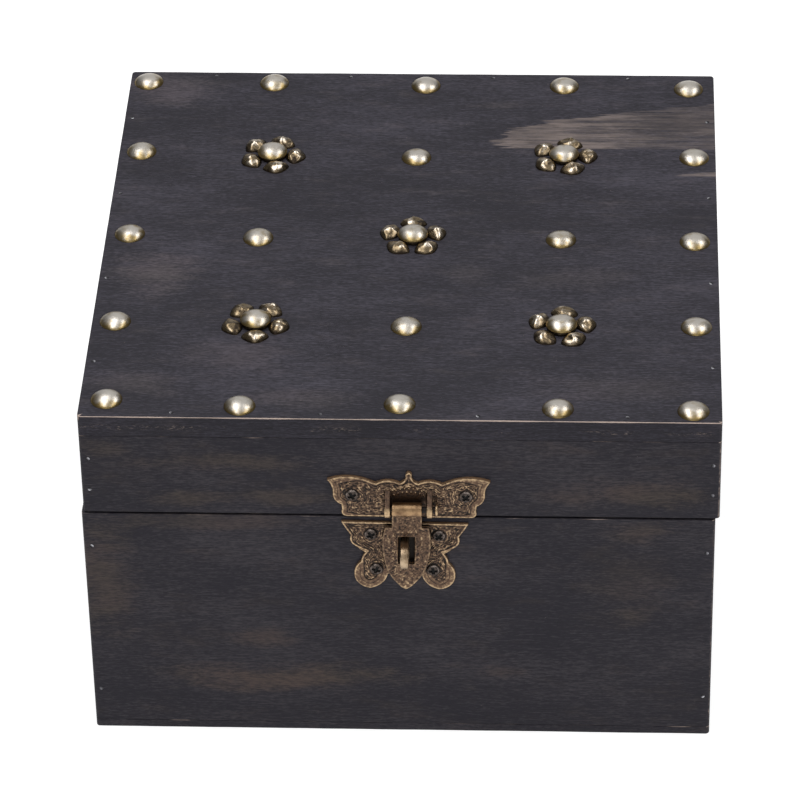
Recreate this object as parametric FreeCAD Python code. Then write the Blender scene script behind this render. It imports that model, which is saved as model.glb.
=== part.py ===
import FreeCAD, Part
import math
import os

# Stained wooden chest with a hinged lid, dome nails, petal rosettes and a butterfly hasp.
# Millimetres: +X to the right seen from the front, +Y to the back, +Z up.
# The origin is the middle of the underside.

# Wooden case
box_width = 200.0
box_depth = 200.0
base_height = 87.5
lid_height = 37.2
parting_gap = 0.8
base_set_in = 0.3
lid_shift = 1.0
wall_thickness = 5.0
top_thickness = 7.5
floor_thickness = 3.0
corner_radius = 1.2

# Clearances
drive_fit = 0.02
running_fit = 0.04
turning_gap = 0.3

# Brads that hold the boards together
brad_radius = 0.5
brad_head_radius = 0.8
brad_head_height = 0.6
brad_sink = 0.2
brad_grip = 7.0
brad_tip = 1.5
base_brad_margin = 13.0
lid_brad_margin = 9.0

# Dome nails
nail_head_radius = 5.0
nail_head_height = 2.5
nail_sheet = 0.6
nail_shank_radius = 0.8
nail_tip = 2.0
nail_cover = 1.0
nail_edge_inset = 7.5
nail_set_out = 2.7

# Petal rosettes under five of the nails
petal_count = 5
petal_circle_radius = 7.4
petal_half_width = 4.2
petal_rise = 3.0
hub_radius = 4.8
hub_height = 2.0

# Screws: pan head with a cross recess
hasp_screw_head_radius = 2.1
hasp_screw_head_height = 1.1
hasp_screw_shank_radius = 0.95
hinge_screw_head_radius = 1.6
hinge_screw_head_height = 0.7
hinge_screw_shank_radius = 0.75
screw_cover = 0.8
screw_tip = 1.2
screw_hole_gap = 0.15
screw_rim_share = 0.35
screw_turn_step = 25.0
recess_width_share = 0.32
recess_length_share = 1.3
recess_depth_share = 0.55

# Butterfly hasp
upper_plate_offset = 2.7
lower_plate_offset = 2.3
hasp_plate_thickness = 1.2
upper_plate_lift = 0.1
lower_plate_drop = 1.5
arch_depth = 0.5
arch_top = 11.8
arch_rise = 2.9
hasp_pin_radius = 1.0
hasp_pin_height = 5.0
hasp_pin_head_radius = 1.6
hasp_pin_head_length = 0.8
hasp_pin_slack = 0.9
barrel_radius = 2.1
barrel_length = 9.4
ear_radius = 2.2
ear_thickness = 1.75
ear_side_gap = 1.05
ear_top = 9.2
upper_screw_reach = 17.8
upper_screw_height = 8.6
shoulder_screw_reach = 10.7
shoulder_screw_drop = 4.5
lobe_screw_reach = 9.0
lobe_screw_drop = 18.3

# Hasp tongue and the staple that passes through its slot
tongue_thickness = 1.4
tongue_plate_gap = 0.5
tongue_side_shift = -0.5
staple_width = 2.65
staple_half_height = 4.2
staple_drop = 11.0
staple_eye_radius = 2.2
eye_tongue_gap = 0.5
slot_side_gap = 0.4
slot_end_gap = 1.2

# Back hinges
hinge_inset = 40.0
hinge_length = 28.0
hinge_knuckles = 5
hinge_leaf_height = 11.5
hinge_leaf_thickness = 0.85
hinge_leaf_corner = 1.5
hinge_pin_radius = 0.8
hinge_pin_head_radius = 1.3
hinge_pin_head_length = 0.6
hinge_stand_off = 0.3
hinge_knuckle_gap = 0.2
hinge_screw_edge = 4.5

# How far each nail was knocked off its grid point, by (row from the back, column from the left)
nail_wander = {
    (0, 0): (-1.2, 0.8), (0, 1): (-1.5, 0.5), (0, 2): (1.6, -0.3), (0, 4): (-1.2, -1.4),
    (1, 0): (0.0, 0.8), (1, 1): (0.6, -0.8), (1, 2): (0.0, -1.5), (1, 3): (0.4, -0.7), (1, 4): (0.3, -0.4),
    (2, 0): (0.3, 0.6), (2, 1): (-1.0, -1.0), (2, 2): (0.6, 0.0), (2, 3): (0.0, -0.6), (2, 4): (0.0, -1.2),
    (3, 1): (1.3, 0.0), (3, 2): (0.4, -1.3), (3, 3): (0.8, -1.2),
    (4, 0): (1.0, 1.5), (4, 1): (-0.8, -1.2), (4, 2): (0.0, 0.5), (4, 3): (0.2, -1.0), (4, 4): (-1.4, -1.5),
}

# How far each rosette was turned, in degrees
rosette_turns = {
    "rosette_back_left": 12.0,
    "rosette_back_right": 22.0,
    "rosette_centre": 36.0,
    "rosette_front_left": 2.0,
    "rosette_front_right": 30.0,
}

# Half outlines of the hasp, from one end of the centre line to the other.
# A pair is the end of a straight edge, and two pairs are an arc's middle and end.
upper_plate_half = [
    (0.0, 0.0), (19.6, 0.0),
    ((20.9, 0.8), (21.0, 2.4)), (21.2, 4.6),
    ((23.1, 6.2), (23.8, 8.9)), ((24.2, 11.8), (25.6, 14.2)),
    ((19.3, 15.5), (13.0, 14.2)), (10.4, 13.0),
    ((6.5, 14.2), (2.9, 13.2)), ((1.7, 14.0), (0.9, 15.8)), ((0.75, 17.0), (0.0, 17.5)),
]
lower_plate_half = [
    (0.0, 0.0), (20.0, 0.0),
    ((18.6, -2.6), (17.0, -5.2)), ((17.1, -7.6), (15.8, -9.3)), ((13.9, -10.5), (11.9, -11.4)),
    ((13.2, -13.4), (13.8, -15.6)), ((15.4, -17.8), (16.0, -20.4)),
    ((14.5, -24.6), (11.0, -26.3)), ((7.6, -24.6), (5.4, -20.6)), (0.0, -18.0),
]
# The tongue's half outline is measured from the middle of its slot.
tongue_shoulder = 9.0
tongue_tip = -15.6
tongue_half = [
    (0.0, tongue_shoulder), (6.9, tongue_shoulder),
    ((7.65, 3.0), (6.9, -4.2)), ((5.2, -9.6), (2.6, -13.4)), ((1.4, -14.7), (0.0, tongue_tip)),
]

# Places worked out from the sizes above
base_width = box_width - 2 * base_set_in
lid_bottom = base_height + parting_gap
lid_top = lid_bottom + lid_height
lid_ceiling = lid_top - top_thickness
front_face = -box_depth / 2
back_face = box_depth / 2
hinge_barrel_radius = hinge_pin_radius + running_fit + hinge_leaf_thickness
hinge_axis_y = back_face + hinge_stand_off + hinge_barrel_radius
hinge_axis_z = base_height + parting_gap / 2
hinge_reach = base_width / 2 - hinge_inset
hasp_lid_x = lid_shift + upper_plate_offset
tongue_x = hasp_lid_x + tongue_side_shift
barrel_out = hasp_plate_thickness + turning_gap + barrel_radius
hasp_axis_y = front_face - barrel_out
hasp_axis_z = lid_bottom + hasp_pin_height
tongue_back = hasp_plate_thickness + tongue_plate_gap
tongue_front = tongue_back + tongue_thickness
staple_z = base_height - staple_drop
eye_out = tongue_front + eye_tongue_gap + staple_eye_radius

UP = FreeCAD.Vector(0, 0, 1)
DOWN = FreeCAD.Vector(0, 0, -1)
RIGHT = FreeCAD.Vector(1, 0, 0)
FRONT = FreeCAD.Vector(0, -1, 0)
BACK = FreeCAD.Vector(0, 1, 0)
overcut = 1.0
same_place = 1e-6


def vec(x, y, z):
    return FreeCAD.Vector(x, y, z)


def block(low, high):
    """Box between two corners."""
    size = high - low
    return Part.makeBox(size.x, size.y, size.z, low)


def rod(radius, start, direction, length):
    return Part.makeCylinder(radius, length, start, direction)


def joined(first, others):
    """One solid from pieces that run into each other."""
    return first.fuse(others).removeSplitter()


def drilled(board, holes):
    """Board with every hole that reaches it cut out."""
    near = [hole for hole in holes if hole.BoundBox.intersect(board.BoundBox)]
    return board.cut(near) if near else board


def aimed(shape, place, direction, turn=0.0):
    """Shape made along +Z at the origin, turned about its axis, then set at a place along a direction."""
    moved = shape.copy()
    spin = FreeCAD.Rotation(UP, turn)
    moved.Placement = FreeCAD.Placement(place, FreeCAD.Rotation(UP, direction) * spin)
    return moved


def half_edges(half, side):
    """Edges of a half outline in the XZ plane, on the right (side 1) or the left (side -1)."""
    edges = []
    here = half[0]
    for step in half[1:]:
        arc = isinstance(step[0], tuple)
        there = step[1] if arc else step
        start = vec(side * here[0], 0, here[1])
        end = vec(side * there[0], 0, there[1])
        if arc:
            middle = vec(side * step[0][0], 0, step[0][1])
            edges.append(Part.Arc(start, middle, end).toShape())
        else:
            edges.append(Part.LineSegment(start, end).toShape())
        here = there
    return edges


def mirrored_plate(half, thickness, place):
    """Flat plate from a half outline and its mirror image, its back at the place and its front towards -Y."""
    edges = half_edges(half, 1) + half_edges(half, -1)
    wire = Part.Wire(Part.__sortEdges__(edges))
    plate = Part.Face(wire).extrude(FRONT * thickness)
    plate.translate(place)
    return plate


def side_profile(edges, width, x_middle):
    """Solid from edges drawn in a YZ plane, spread evenly about x_middle."""
    face = Part.Face(Part.Wire(Part.__sortEdges__(edges)))
    solid = face.extrude(RIGHT * width)
    solid.translate(vec(x_middle - width / 2, 0, 0))
    return solid


def revolved(edges):
    """Solid of revolution about Z from edges in the XZ plane."""
    face = Part.Face(Part.Wire(Part.__sortEdges__(edges)))
    return face.revolve(vec(0, 0, 0), UP, 360)


def cap_height(radius, rise, share):
    """Height of a spherical cap over its rim, at a share of the rim's radius from its middle."""
    sphere = (radius ** 2 + rise ** 2) / (2 * rise)
    return rise - sphere + math.sqrt(sphere ** 2 - (share * radius) ** 2)


def polyline(points):
    return [Part.LineSegment(a, b).toShape() for a, b in zip(points, points[1:])]


# Boards

def round_corners(board, corners):
    """Round the upright edges of a board that stand at the given (x, y) corners."""
    edges = []
    for edge in board.Edges:
        low = edge.Vertexes[0].Point
        high = edge.Vertexes[-1].Point
        upright = math.hypot(high.x - low.x, high.y - low.y) < same_place
        at_corner = any(math.hypot(low.x - x, low.y - y) < same_place for x, y in corners)
        if upright and at_corner:
            edges.append(edge)
    return board.makeFillet(corner_radius, edges)


def flat_board(x_middle, width, z_low, z_high):
    """Board over the whole plan of the case, with its four corners rounded."""
    left = x_middle - width / 2
    right = x_middle + width / 2
    board = block(vec(left, front_face, z_low), vec(right, back_face, z_high))
    return round_corners(board, [(x, y) for x in (left, right) for y in (front_face, back_face)])


def wall_set(x_middle, width, z_low, z_high):
    """Four walls: front and back over the full width, left and right between them."""
    left = x_middle - width / 2
    right = x_middle + width / 2
    front_inside = front_face + wall_thickness
    back_inside = back_face - wall_thickness
    front = block(vec(left, front_face, z_low), vec(right, front_inside, z_high))
    back = block(vec(left, back_inside, z_low), vec(right, back_face, z_high))
    left_inside = left + wall_thickness
    right_inside = right - wall_thickness
    return {
        "front_wall": round_corners(front, [(left, front_face), (right, front_face)]),
        "back_wall": round_corners(back, [(left, back_face), (right, back_face)]),
        "left_wall": block(vec(left, front_inside, z_low), vec(left_inside, back_inside, z_high)),
        "right_wall": block(vec(right_inside, front_inside, z_low), vec(right, back_inside, z_high)),
    }


# Nails and brads

def grid_steps(side_length):
    """Five places along a side: two near the edges, the middle, and two set out from the half way points."""
    edge = side_length / 2 - nail_edge_inset
    inner = edge / 2 + nail_set_out
    return [-edge, -inner, 0.0, inner, edge]


def between_steps(side_length):
    """Four places half way between the five of a side."""
    steps = grid_steps(side_length)
    return [(a + b) / 2 for a, b in zip(steps, steps[1:])]


def nail_place(row, column):
    """Point on the lid's top where a nail was knocked in."""
    wander_x, wander_y = nail_wander.get((row, column), (0.0, 0.0))
    x = lid_shift + grid_steps(box_width)[column] + wander_x
    y = -grid_steps(box_depth)[row] + wander_y
    return vec(x, y, lid_top)


def dome_nail(depth):
    """Hollow domed head with a pointed shank that ends the given depth below the rim."""
    sphere = (nail_head_radius ** 2 + nail_head_height ** 2) / (2 * nail_head_height)
    middle_z = nail_head_height - sphere
    inner = sphere - nail_sheet
    rim_inside = math.sqrt(inner ** 2 - middle_z ** 2)
    shank_top = middle_z + math.sqrt(inner ** 2 - nail_shank_radius ** 2)

    def on_sphere(radius, x):
        return vec(x, 0, middle_z + math.sqrt(radius ** 2 - x ** 2))

    outer_arc = Part.Arc(
        vec(nail_head_radius, 0, 0), on_sphere(sphere, nail_head_radius / 2), vec(0, 0, nail_head_height))
    inner_arc = Part.Arc(
        vec(nail_shank_radius, 0, shank_top),
        on_sphere(inner, (nail_shank_radius + rim_inside) / 2),
        vec(rim_inside, 0, 0))
    shank = polyline([
        vec(0, 0, nail_head_height), vec(0, 0, -depth),
        vec(nail_shank_radius, 0, -depth + nail_tip), vec(nail_shank_radius, 0, shank_top)])
    rim = polyline([vec(rim_inside, 0, 0), vec(nail_head_radius, 0, 0)])
    return revolved([outer_arc.toShape(), inner_arc.toShape()] + shank + rim)


def nail_group(places, lift):
    """Nails at grid points, their rims lifted above the lid, and the holes for their shanks."""
    depth = top_thickness - nail_cover
    nail = dome_nail(depth + lift)
    nails = []
    holes = []
    for row, column in places:
        point = nail_place(row, column)
        nails.append(aimed(nail, point + UP * lift, UP))
        holes.append(rod(nail_shank_radius + drive_fit, point + UP * (lift + overcut), DOWN,
                         depth + lift + overcut + drive_fit))
    return nails, holes


def brad_group(places, direction, cover):
    """Brads driven through a board of thickness cover into the one behind, and their holes."""
    length = cover - brad_sink + brad_grip
    nails = []
    holes = []
    for point in places:
        seat = point + direction * brad_sink
        head = rod(brad_head_radius, seat, direction, brad_head_height)
        shank = rod(brad_radius, seat, direction, length - brad_tip)
        tip = Part.makeCone(brad_radius, 0, brad_tip, seat + direction * (length - brad_tip), direction)
        nails.append(joined(head, [shank, tip]))
        mouth = point - direction * overcut
        pocket = overcut + brad_sink + brad_head_height + drive_fit
        holes.append(rod(brad_head_radius + drive_fit, mouth, direction, pocket))
        holes.append(rod(brad_radius + drive_fit, mouth, direction, overcut + brad_sink + length + drive_fit))
    return nails, holes


def edge_brad_places(x_middle, width, z):
    """Points round a board's four edges, over the middle of the walls and between the nails."""
    x_edge = (width - wall_thickness) / 2
    y_edge = (box_depth - wall_thickness) / 2
    places = []
    for x in between_steps(width):
        places += [vec(x_middle + x, -y_edge, z), vec(x_middle + x, y_edge, z)]
    for y in between_steps(box_depth):
        places += [vec(x_middle - x_edge, y, z), vec(x_middle + x_edge, y, z)]
    return places


def corner_brads(x_middle, width, z_places):
    """Brads through the front and back walls into the ends of the side walls."""
    x_edge = (width - wall_thickness) / 2
    corners = [(x_middle + side * x_edge, z) for side in (-1, 1) for z in z_places]
    front = brad_group([vec(x, front_face, z) for x, z in corners], BACK, wall_thickness)
    back = brad_group([vec(x, back_face, z) for x, z in corners], FRONT, wall_thickness)
    return front[0] + back[0], front[1] + back[1]


# Rosettes

def rosette_points():
    """Grid points of the nails that hold the rosettes: the middle one and those next to the corner ones."""
    return {
        "rosette_back_left": (1, 1),
        "rosette_back_right": (1, 3),
        "rosette_centre": (2, 2),
        "rosette_front_left": (3, 1),
        "rosette_front_right": (3, 3),
    }


def rosette(point, turn):
    """Hub with a ring of half-round petals, hollowed for the nail's head and pierced for its shank."""
    stretch = FreeCAD.Matrix()
    stretch.scale(petal_half_width, petal_rise, petal_rise)
    petal = Part.makeSphere(1.0).transformGeometry(stretch)
    petals = []
    for index in range(petal_count):
        leaf = petal.copy()
        leaf.translate(vec(0, -petal_circle_radius, 0))
        leaf.rotate(vec(0, 0, 0), UP, turn + 360 * index / petal_count)
        petals.append(leaf)
    flower = joined(rod(hub_radius, vec(0, 0, 0), UP, hub_height), petals)
    head_room = rod(nail_head_radius + drive_fit, vec(0, 0, hub_height), UP, petal_rise + overcut)
    pierced = rod(nail_shank_radius + drive_fit, vec(0, 0, -overcut), UP, hub_height + 2 * overcut)
    reach = petal_circle_radius + petal_half_width + petal_rise
    board = block(vec(-reach, -reach, -petal_rise - overcut), vec(reach, reach, 0))
    return aimed(flower.cut([head_room, pierced, board]), point, UP)


# Screws

def screw(head_radius, head_height, shank_radius, length):
    """Round head with a cross recess over a pointed shank, seated at the origin with its top towards +Z."""
    rim = head_height * screw_rim_share
    rise = head_height - rim
    arc = Part.Arc(vec(0, 0, head_height), vec(head_radius / 2, 0, rim + cap_height(head_radius, rise, 0.5)),
                   vec(head_radius, 0, rim))
    body = revolved([arc.toShape()] + polyline([
        vec(head_radius, 0, rim), vec(head_radius, 0, 0), vec(shank_radius, 0, 0),
        vec(shank_radius, 0, screw_tip - length), vec(0, 0, -length), vec(0, 0, head_height)]))
    half_long = head_radius * recess_length_share / 2
    half_wide = head_radius * recess_width_share / 2
    floor_z = head_height * (1 - recess_depth_share)
    top_z = head_height + overcut
    slots = [
        block(vec(-half_long, -half_wide, floor_z), vec(half_long, half_wide, top_z)),
        block(vec(-half_wide, -half_long, floor_z), vec(half_wide, half_long, top_z)),
    ]
    return body.cut(slots)


def screw_group(pattern, places, direction, plate_thickness, shank_radius):
    """Screws seated on a plate against a wall, the plate's holes, and the pilot holes in the wall."""
    bite = screw_length(plate_thickness) - plate_thickness
    screws = []
    plate_holes = []
    pilots = []
    for index, wall_point in enumerate(places):
        seat = wall_point + direction * plate_thickness
        screws.append(aimed(pattern, seat, direction, screw_turn_step * index))
        mouth = seat + direction * overcut
        plate_holes.append(rod(shank_radius + screw_hole_gap, mouth, -direction, plate_thickness + overcut))
        pilots.append(rod(shank_radius + drive_fit, wall_point, -direction, bite + drive_fit))
    return screws, plate_holes, pilots


def screw_length(plate_thickness):
    """Length below the head that stays inside the wall."""
    return plate_thickness + wall_thickness - screw_cover


def hasp_screws(x_middle, z_datum, offsets):
    """Pairs of hasp screws at (reach, height) offsets either side of a middle line."""
    pattern = screw(hasp_screw_head_radius, hasp_screw_head_height, hasp_screw_shank_radius,
                    screw_length(hasp_plate_thickness))
    places = [vec(x_middle + side * reach, front_face, z_datum + height)
              for reach, height in offsets for side in (-1, 1)]
    return screw_group(pattern, places, FRONT, hasp_plate_thickness, hasp_screw_shank_radius)


# Hasp

def hasp_ear(side):
    """Lug that rises from the upper plate and wraps the pin."""
    axis = vec(0, hasp_axis_y, hasp_axis_z)
    root = vec(0, front_face - hasp_plate_thickness, lid_bottom + ear_top)
    away = root - axis
    bearing = math.atan2(away.z, -away.y) - math.acos(ear_radius / away.Length)
    shoulder = axis + vec(0, -math.cos(bearing), math.sin(bearing)) * ear_radius
    under = axis + DOWN * ear_radius
    plate_inside = front_face - hasp_plate_thickness / 2
    web = polyline([
        vec(0, plate_inside, root.z), root, shoulder, axis, under,
        vec(0, plate_inside, under.z), vec(0, plate_inside, root.z)])
    x_middle = hasp_lid_x + side * (barrel_length / 2 + ear_side_gap + ear_thickness / 2)
    knuckle = rod(ear_radius, vec(x_middle - ear_thickness / 2, axis.y, axis.z), RIGHT, ear_thickness)
    return joined(side_profile(web, ear_thickness, x_middle), [knuckle])


def hasp_arch():
    """Sunk panel with a round top between the ears of the upper plate."""
    half = barrel_length / 2 + ear_side_gap
    spring = arch_top - arch_rise
    front = front_face - hasp_plate_thickness
    left = vec(hasp_lid_x - half, front, lid_bottom + spring)
    crown = vec(hasp_lid_x, front, lid_bottom + arch_top)
    right = vec(hasp_lid_x + half, front, lid_bottom + spring)
    sill = lid_bottom - overcut
    edges = [Part.Arc(left, crown, right).toShape()]
    edges += polyline([right, vec(right.x, front, sill), vec(left.x, front, sill), left])
    panel = Part.Face(Part.Wire(Part.__sortEdges__(edges)))
    return panel.extrude(BACK * arch_depth)


def hasp_upper_plate(screw_holes):
    place = vec(hasp_lid_x, front_face, lid_bottom + upper_plate_lift)
    plate = mirrored_plate(upper_plate_half, hasp_plate_thickness, place).cut(hasp_arch())
    plate = joined(plate, [hasp_ear(-1), hasp_ear(1)])
    reach = barrel_length / 2 + ear_side_gap + ear_thickness + overcut
    bore_start = vec(hasp_lid_x - reach, hasp_axis_y, hasp_axis_z)
    bore = rod(hasp_pin_radius + drive_fit, bore_start, RIGHT, 2 * reach)
    return plate.cut([bore] + screw_holes)


def hasp_pin():
    """Pin through the ears and the tongue's barrel, with a round head at each end."""
    reach = barrel_length / 2 + ear_side_gap + ear_thickness
    left = vec(hasp_lid_x - reach, hasp_axis_y, hasp_axis_z)
    far = 2 * reach + hasp_pin_slack
    shank = rod(hasp_pin_radius, left, RIGHT, far)
    heads = [
        rod(hasp_pin_head_radius, left - RIGHT * hasp_pin_head_length, RIGHT, hasp_pin_head_length),
        rod(hasp_pin_head_radius, left + RIGHT * far, RIGHT, hasp_pin_head_length),
    ]
    return joined(shank, heads)


def hasp_tongue():
    """Shield with a slot, hung by a narrower neck from a barrel on the pin."""
    back = front_face - tongue_back
    shield = mirrored_plate(tongue_half, tongue_thickness, vec(tongue_x, back, staple_z))
    half_neck = barrel_length / 2
    neck = block(
        vec(tongue_x - half_neck, back - tongue_thickness, staple_z + tongue_shoulder - overcut),
        vec(tongue_x + half_neck, back, hasp_axis_z))
    axis_start = vec(tongue_x - half_neck, hasp_axis_y, hasp_axis_z)
    body = joined(rod(barrel_radius, axis_start, RIGHT, barrel_length), [neck, shield])
    half_slot = abs(tongue_x - lower_plate_offset) + staple_width / 2 + slot_side_gap
    half_tall = staple_half_height + slot_end_gap
    slot = block(
        vec(tongue_x - half_slot, back - tongue_thickness - overcut, staple_z - half_tall),
        vec(tongue_x + half_slot, back + overcut, staple_z + half_tall))
    bore_start = axis_start - RIGHT * overcut
    bore = rod(hasp_pin_radius + running_fit, bore_start, RIGHT, barrel_length + 2 * overcut)
    return body.cut([slot, bore])


def hasp_lower_plate(screw_holes):
    place = vec(lower_plate_offset, front_face, base_height - lower_plate_drop)
    plate = mirrored_plate(lower_plate_half, hasp_plate_thickness, place)
    half_wide = staple_width / 2 + drive_fit
    half_tall = staple_half_height + drive_fit
    plate_front = front_face - hasp_plate_thickness
    mortise = block(
        vec(lower_plate_offset - half_wide, plate_front - overcut, staple_z - half_tall),
        vec(lower_plate_offset + half_wide, front_face + overcut, staple_z + half_tall))
    return plate.cut([mortise] + screw_holes)


def hasp_staple():
    """Round-ended lug through the lower plate, with an eye for a padlock in front of the tongue."""
    eye = vec(0, front_face - eye_out, staple_z)
    top = vec(0, eye.y, staple_z + staple_half_height)
    nose = vec(0, eye.y - staple_half_height, staple_z)
    low = vec(0, eye.y, staple_z - staple_half_height)
    edges = [Part.Arc(top, nose, low).toShape()]
    edges += polyline([low, vec(0, front_face, low.z), vec(0, front_face, top.z), top])
    lug = side_profile(edges, staple_width, lower_plate_offset)
    eye_start = vec(lower_plate_offset - staple_width / 2 - overcut, eye.y, eye.z)
    return lug.cut(rod(staple_eye_radius, eye_start, RIGHT, staple_width + 2 * overcut))


# Hinges

def hinge_leaf(x_middle, side, owned, screw_holes):
    """Leaf above (side 1) or below (side -1) the hinge axis, rolled round the pin at the owned knuckles."""
    pitch = hinge_length / hinge_knuckles
    left = x_middle - hinge_length / 2
    far = side * hinge_leaf_height
    near = side * (hinge_barrel_radius + turning_gap)
    low = hinge_axis_z + min(near, far)
    high = hinge_axis_z + max(near, far)
    plate = block(vec(left, back_face, low), vec(left + hinge_length, back_face + hinge_leaf_thickness, high))
    plate = round_leaf(plate, hinge_axis_z + far)
    rolls = []
    for index in owned:
        start = left + index * pitch + hinge_knuckle_gap / 2
        end = start + pitch - hinge_knuckle_gap
        rolls.append(rod(hinge_barrel_radius, vec(start, hinge_axis_y, hinge_axis_z), RIGHT, end - start))
        rolls.append(block(
            vec(start, back_face, min(hinge_axis_z, hinge_axis_z + near)),
            vec(end, back_face + hinge_leaf_thickness, max(hinge_axis_z, hinge_axis_z + near))))
    leaf = joined(plate, rolls)
    bore_start = vec(left - overcut, hinge_axis_y, hinge_axis_z)
    bore = rod(hinge_pin_radius + running_fit, bore_start, RIGHT, hinge_length + 2 * overcut)
    return leaf.cut([bore] + screw_holes)


def round_leaf(plate, z_far):
    """Round the two corners of a leaf's far edge."""
    edges = []
    for edge in plate.Edges:
        start = edge.Vertexes[0].Point
        end = edge.Vertexes[-1].Point
        through = math.hypot(end.x - start.x, end.z - start.z) < same_place
        if through and abs(start.z - z_far) < same_place:
            edges.append(edge)
    return plate.makeFillet(hinge_leaf_corner, edges)


def hinge_pin(x_middle):
    """Pin as long as the barrel, with a peened head at each end."""
    left = vec(x_middle - hinge_length / 2, hinge_axis_y, hinge_axis_z)
    shank = rod(hinge_pin_radius, left, RIGHT, hinge_length)
    heads = [
        rod(hinge_pin_head_radius, left - RIGHT * hinge_pin_head_length, RIGHT, hinge_pin_head_length),
        rod(hinge_pin_head_radius, left + RIGHT * hinge_length, RIGHT, hinge_pin_head_length),
    ]
    return joined(shank, heads)


def hinge_screws(x_middle, side):
    """Two screws through a leaf above (side 1) or below (side -1) the hinge axis."""
    pattern = screw(hinge_screw_head_radius, hinge_screw_head_height, hinge_screw_shank_radius,
                    screw_length(hinge_leaf_thickness))
    reach = hinge_length / 2 - hinge_screw_edge
    height = hinge_axis_z + side * (hinge_leaf_height - hinge_screw_edge)
    places = [vec(x_middle + step * reach, back_face, height) for step in (-1, 1)]
    return screw_group(pattern, places, BACK, hinge_leaf_thickness, hinge_screw_shank_radius)


# Assembly

def build_hinges():
    """Both hinges: their nodes, and the pilot holes they need in the walls."""
    nodes = {}
    base_screws = []
    lid_screws = []
    pilots = []
    base_knuckles = range(0, hinge_knuckles, 2)
    lid_knuckles = range(1, hinge_knuckles, 2)
    for name, x_middle in (("left", -hinge_reach), ("right", hinge_reach)):
        below = hinge_screws(x_middle, -1)
        above = hinge_screws(x_middle, 1)
        nodes["hinge_" + name + "_base_leaf"] = hinge_leaf(x_middle, -1, base_knuckles, below[1])
        nodes["hinge_" + name + "_lid_leaf"] = hinge_leaf(x_middle, 1, lid_knuckles, above[1])
        nodes["hinge_" + name + "_pin"] = hinge_pin(x_middle)
        base_screws += below[0]
        lid_screws += above[0]
        pilots += below[2] + above[2]
    nodes["hinge_base_screws"] = Part.makeCompound(base_screws)
    nodes["hinge_lid_screws"] = Part.makeCompound(lid_screws)
    return nodes, pilots


def build_hasp():
    """Hasp plates, pin, tongue, staple and screws, and the pilot holes they need in the walls."""
    upper = hasp_screws(hasp_lid_x, lid_bottom + upper_plate_lift, [(upper_screw_reach, upper_screw_height)])
    lower = hasp_screws(lower_plate_offset, base_height - lower_plate_drop, [
        (shoulder_screw_reach, -shoulder_screw_drop), (lobe_screw_reach, -lobe_screw_drop)])
    nodes = {
        "hasp_upper_plate": hasp_upper_plate(upper[1]),
        "hasp_upper_screws": Part.makeCompound(upper[0]),
        "hasp_pin": hasp_pin(),
        "hasp_tongue": hasp_tongue(),
        "hasp_lower_plate": hasp_lower_plate(lower[1]),
        "hasp_lower_screws": Part.makeCompound(lower[0]),
        "hasp_staple": hasp_staple(),
    }
    return nodes, upper[2] + lower[2]


def build_lid(pilots):
    """Lid boards, the brads and dome nails in them, and the rosettes."""
    rows = range(len(grid_steps(box_depth)))
    grid = [(row, column) for row in rows for column in rows]
    flowers = rosette_points()
    flower_points = list(flowers.values())
    edge_points = [point for point in grid if rows[0] in point or rows[-1] in point]
    inner_points = [point for point in grid if point not in edge_points and point not in flower_points]
    edge_nails = nail_group(edge_points, 0.0)
    inner_nails = nail_group(inner_points, 0.0)
    rosette_nails = nail_group(flower_points, hub_height)
    top_brads = brad_group(edge_brad_places(lid_shift, box_width, lid_top), DOWN, top_thickness)
    brad_heights = [lid_bottom + lid_brad_margin, lid_ceiling - lid_brad_margin]
    side_brads = corner_brads(lid_shift, box_width, brad_heights)
    holes = edge_nails[1] + inner_nails[1] + rosette_nails[1] + top_brads[1] + side_brads[1] + pilots
    boards = wall_set(lid_shift, box_width, lid_bottom, lid_ceiling)
    boards["top_board"] = flat_board(lid_shift, box_width, lid_ceiling, lid_top)
    nodes = {"lid_" + name: drilled(board, holes) for name, board in boards.items()}
    nodes["lid_top_brads"] = Part.makeCompound(top_brads[0])
    nodes["lid_corner_brads"] = Part.makeCompound(side_brads[0])
    nodes["edge_dome_nails"] = Part.makeCompound(edge_nails[0])
    nodes["inner_dome_nails"] = Part.makeCompound(inner_nails[0])
    nodes["rosette_dome_nails"] = Part.makeCompound(rosette_nails[0])
    for name, point in flowers.items():
        nodes[name] = rosette(nail_place(*point), rosette_turns[name])
    return nodes


def build_base(pilots):
    """Base boards and the brads in them."""
    floor_brads = brad_group(edge_brad_places(0.0, base_width, 0.0), UP, floor_thickness)
    brad_heights = [floor_thickness + base_brad_margin, base_height - base_brad_margin]
    side_brads = corner_brads(0.0, base_width, brad_heights)
    holes = floor_brads[1] + side_brads[1] + pilots
    boards = wall_set(0.0, base_width, floor_thickness, base_height)
    boards["floor_board"] = flat_board(0.0, base_width, 0.0, floor_thickness)
    nodes = {"base_" + name: drilled(board, holes) for name, board in boards.items()}
    nodes["base_floor_brads"] = Part.makeCompound(floor_brads[0])
    nodes["base_corner_brads"] = Part.makeCompound(side_brads[0])
    return nodes


def main():
    os.makedirs("parts", exist_ok=True)
    hinge_nodes, hinge_pilots = build_hinges()
    hasp_nodes, hasp_pilots = build_hasp()
    pilots = hinge_pilots + hasp_pilots
    nodes = {}
    nodes.update(build_base(pilots))
    nodes.update(build_lid(pilots))
    nodes.update(hasp_nodes)
    nodes.update(hinge_nodes)
    for name, shape in nodes.items():
        shape.exportStep("parts/" + name + ".step")
        print(name, len(shape.Solids), round(shape.Volume, 2), shape.isValid())


main()
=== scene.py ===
import logging
import math
from dataclasses import dataclass, field
from enum import Enum
from functools import cached_property
from typing import Callable, ClassVar, Sequence

import bpy
import numpy as np
from mathutils import Matrix, Vector


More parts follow.
